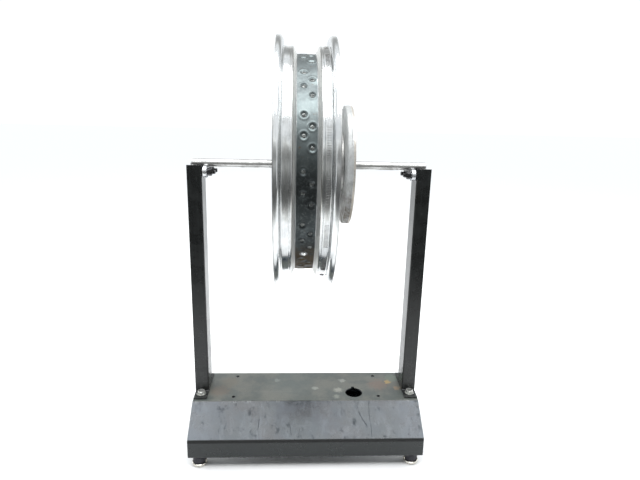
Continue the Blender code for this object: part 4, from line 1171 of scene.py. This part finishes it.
def make_cone(side):
    """A centring cone with its narrow end towards the hub, and the lock collar and set screw behind it."""
    name = SIDE_NAMES[side]
    cone, collar, screw = f"cone_{name}", f"lock_collar_{name}", f"set_screw_{name}"
    bore = ARBOR_RADIUS + GAP
    turn = Matrix.Rotation(0 if side == RIGHT else pi, 4, "Z")

    def add(node, suffix, shape, look):
        add_node(node, suffix, shape, f"cone_set_{name}", look, WHEEL_ORIGIN)

    def measured(node):
        """Where a node starts, as a placement, its length and its radius."""
        low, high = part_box(node)
        start = high.x if side == LEFT else low.x
        return Matrix.Translation((start, 0, 0)) @ turn, high.x - low.x, high.z - AXIS_Z

    placed, length, broad = measured(cone)
    corners = [
        (0, bore, 0.0004), (0, 0.013, 0.0006), (length - 0.0022, broad, 0.0008), (length, broad, 0.0008),
        (length, 0.0160, 0.0006), (length - 0.0016, 0.0150, 0.0006),
        (length - 0.0016, bore + 0.001, 0.0004), (length - 0.0006, bore, 0.0002),
    ]
    add(cone, "turned", turned(rounded(corners, 3), 96, placed), "cone_steel")
    placed, width, outer = measured(collar)
    mesh = mesh_of("collar", turned(washer_section(bore, outer, width, 0.0007), 72, placed))
    low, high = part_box(screw)
    screw_x, length = (low.x + high.x) / 2, high.z - low.z
    hole = Shell()
    drill(hole, (screw_x, 0, outer), 0.0028, outer, 28, UPWARDS)
    add(collar, "ring", combine(mesh, "DIFFERENCE", hole), "black_oxide")

    def hexagonal(height):
        return lambda angle: (height, 0.00125 / cos(angle % (pi / 3) - pi / 6))

    section = [(0, 0), (0, 0.0018)] + thread(0.0003, length - 0.0002, 0.0025, 0.0008, 0.0004)
    section += [(length, 0.0016), hexagonal(length - 0.0003), hexagonal(length - 0.002), (length - 0.002, 0)]
    placed = standing(screw_x, 0, low.z - AXIS_Z)
    add(screw, "socket", turned(section, 24, placed), "black_oxide")


def make_arbor():
    """The shaft, with chamfered ends and a centre-drilled hole in each."""
    end, radius = ARBOR_END, ARBOR_RADIUS
    half = [
        (end - 0.1, radius), (end - 0.0014, radius), (end - 0.0010, radius - 0.0001),
        (end - 0.0002, radius - 0.0009), (end, radius - 0.0013), (end, 0.0022),
        (end - 0.0030, 0.0009), (end - 0.0060, 0.0009), (end - 0.0064, 0),
    ]
    section = [(-x, reach) for x, reach in half[::-1]] + half
    add_node("arbor", "shaft", turned(section, 72), "wheel", "arbor_steel", WHEEL_ORIGIN)


# ---- studio


def plain_material(name, colour, roughness):
    material = bpy.data.materials.new(name)
    material.use_nodes = True
    shader = material.node_tree.nodes["Principled BSDF"]
    shader.inputs["Base Color"].default_value = (*colour, 1)
    shader.inputs["Roughness"].default_value = roughness
    shader.inputs["Specular IOR Level"].default_value = 0.0
    return material


def glow_material(name, stops):
    """A card's glow, as (share of its height, brightness) stops from its bottom edge to its top."""
    material = bpy.data.materials.new(name)
    material.use_nodes = True
    tree = material.node_tree
    tree.nodes.clear()
    place = tree.nodes.new("ShaderNodeTexCoord")
    axes = tree.nodes.new("ShaderNodeSeparateXYZ")
    ramp = tree.nodes.new("ShaderNodeFloatCurve")
    glow = tree.nodes.new("ShaderNodeEmission")
    output = tree.nodes.new("ShaderNodeOutputMaterial")
    curve = ramp.mapping.curves[0]
    ramp.mapping.clip_max_x = 1.0
    levels = [(share, brightness / CURVE_SCALE) for share, brightness in stops]
    curve.points[0].location, curve.points[1].location = levels[0], levels[-1]
    for share, level in levels[1:-1]:
        curve.points.new(share, level)
    ramp.mapping.update()
    scaled = tree.nodes.new("ShaderNodeMath")
    scaled.operation = "MULTIPLY"
    scaled.inputs[1].default_value = CURVE_SCALE
    glow.inputs["Color"].default_value = (*CARD_TINT, 1)
    for start, end in (
        (place.outputs["Generated"], axes.inputs[0]),
        (axes.outputs[1], ramp.inputs["Value"]),
        (ramp.outputs[0], scaled.inputs[0]),
        (scaled.outputs[0], glow.inputs["Strength"]),
        (glow.outputs[0], output.inputs["Surface"]),
    ):
        tree.links.new(start, end)
    return material


def add_sheet(name, size, location, rotation, material):
    width, depth = size
    mesh = bpy.data.meshes.new(name)
    corners = [(x * width / 2, y * depth / 2, 0) for x, y in ((-1, -1), (1, -1), (1, 1), (-1, 1))]
    mesh.from_pydata(corners, [], [(0, 1, 2, 3)])
    mesh.materials.append(material)
    sheet = bpy.data.objects.new(name, mesh)
    bpy.context.scene.collection.objects.link(sheet)
    sheet.location, sheet.rotation_euler = location, rotation
    return sheet


CARDS = [  # name, size, centre, rotation, stops
    ("front_card", (4.4, 1.6), (0, -2.1, 0.80), (pi / 2, 0, 0),
     ((0, 0.17), (0.14, 0.19), (0.26, 0.26), (0.37, 0.46), (0.48, 0.60), (0.60, 0.34), (0.72, 0.38),
      (0.85, 0.75), (1, 1.5))),
    ("floor_card", (4.4, 1.5), (0, -1.36, 0.004), (0, 0, 0),
     ((0, 0.17), (0.37, 0.13), (0.60, 0.17), (0.75, 0.28), (0.87, 0.70), (0.95, 1.3), (1, 1.6))),
    ("back_card", (3.4, 1.8), (0, 2.1, 2.45), (pi / 2, 0, 0),
     ((0, 1.0), (0.35, 0.5), (0.65, 0.5), (1, 1.0))),
    ("left_card", (2.2, 1.2), (-2.1, -0.2, 0.60), (pi / 2, 0, pi / 2), ((0, 0.30), (0.6, 0.40), (1, 0.8))),
    ("right_card", (2.2, 1.2), (2.1, -0.2, 0.60), (pi / 2, 0, pi / 2), ((0, 0.30), (0.6, 0.40), (1, 0.8))),
]


def make_studio():
    """A pale floor under soft light, with cards that only shape what the metal reflects and aren't seen."""
    scene = bpy.context.scene
    add_sheet("floor", (30, 30), (0, 0, 0), (0, 0, 0), plain_material("floor", FLOOR_COLOUR, 0.9))
    for name, size, place, rotation, stops in CARDS:
        card = add_sheet(name, size, place, rotation, glow_material(name, stops))
        card.visible_camera = card.visible_shadow = card.visible_transmission = card.visible_diffuse = False
    black = plain_material("flag", (0.02, 0.02, 0.02), 1)
    flag = add_sheet("front_flag", (6.0, 4.0), (0, -2.2, 2.0), (pi / 2, 0, 0), black)
    flag.visible_camera = flag.visible_shadow = flag.visible_transmission = flag.visible_glossy = False
    world = bpy.data.worlds.new("studio")
    world.use_nodes = True
    world.node_tree.nodes["Background"].inputs[0].default_value = (*BACKDROP, 1)
    world.node_tree.nodes["Background"].inputs[1].default_value = WORLD_STRENGTH
    scene.world = world
    for name, size, place, aim, power in LAMPS:
        data = bpy.data.lights.new(name, "AREA")
        data.shape, data.size, data.size_y, data.energy = "RECTANGLE", size[0], size[1], power
        lamp = bpy.data.objects.new(name, data)
        scene.collection.objects.link(lamp)
        lamp.location = place
        lamp.rotation_euler = (Vector(aim) - Vector(place)).to_track_quat("-Z", "Y").to_euler()
        lamp.visible_camera = False


CAMERA_AT = (-0.0293, -0.9305, 0.6562)
CAMERA_YAW, CAMERA_PITCH, CAMERA_ROLL = 0.05444, 0.2545, 0.02463  # radians: to the right, down, tilted
CAMERA_LENS, SENSOR_WIDTH = 28.387, 36.0  # millimetres


def make_camera():
    yaw, pitch, roll = CAMERA_YAW, CAMERA_PITCH, CAMERA_ROLL
    ahead = Vector((sin(yaw) * cos(pitch), cos(yaw) * cos(pitch), -sin(pitch)))
    level = Vector((cos(yaw), -sin(yaw), 0))
    above = level.cross(ahead)
    right = cos(roll) * level + sin(roll) * above
    up = cos(roll) * above - sin(roll) * level
    data = bpy.data.cameras.new("camera")
    data.lens, data.sensor_width, data.sensor_fit = CAMERA_LENS, SENSOR_WIDTH, "HORIZONTAL"
    camera = bpy.data.objects.new("camera", data)
    bpy.context.scene.collection.objects.link(camera)
    camera.matrix_world = Matrix.Translation(CAMERA_AT) @ Matrix((right, up, -ahead)).transposed().to_4x4()
    bpy.context.scene.camera = camera


make_camera()
make_studio()
make_base()
for side in (LEFT, RIGHT):
    make_upright(side)
    make_spokes(side)
    make_cone(side)
for side, front in CORNERS:
    make_tab_fasteners(side, front)
    make_roller(side, front)
    make_foot(side, front)
make_rim()
make_knurl()
make_hub()
make_drum()
make_arbor()
bpy.context.scene.view_settings.view_transform = "Standard"
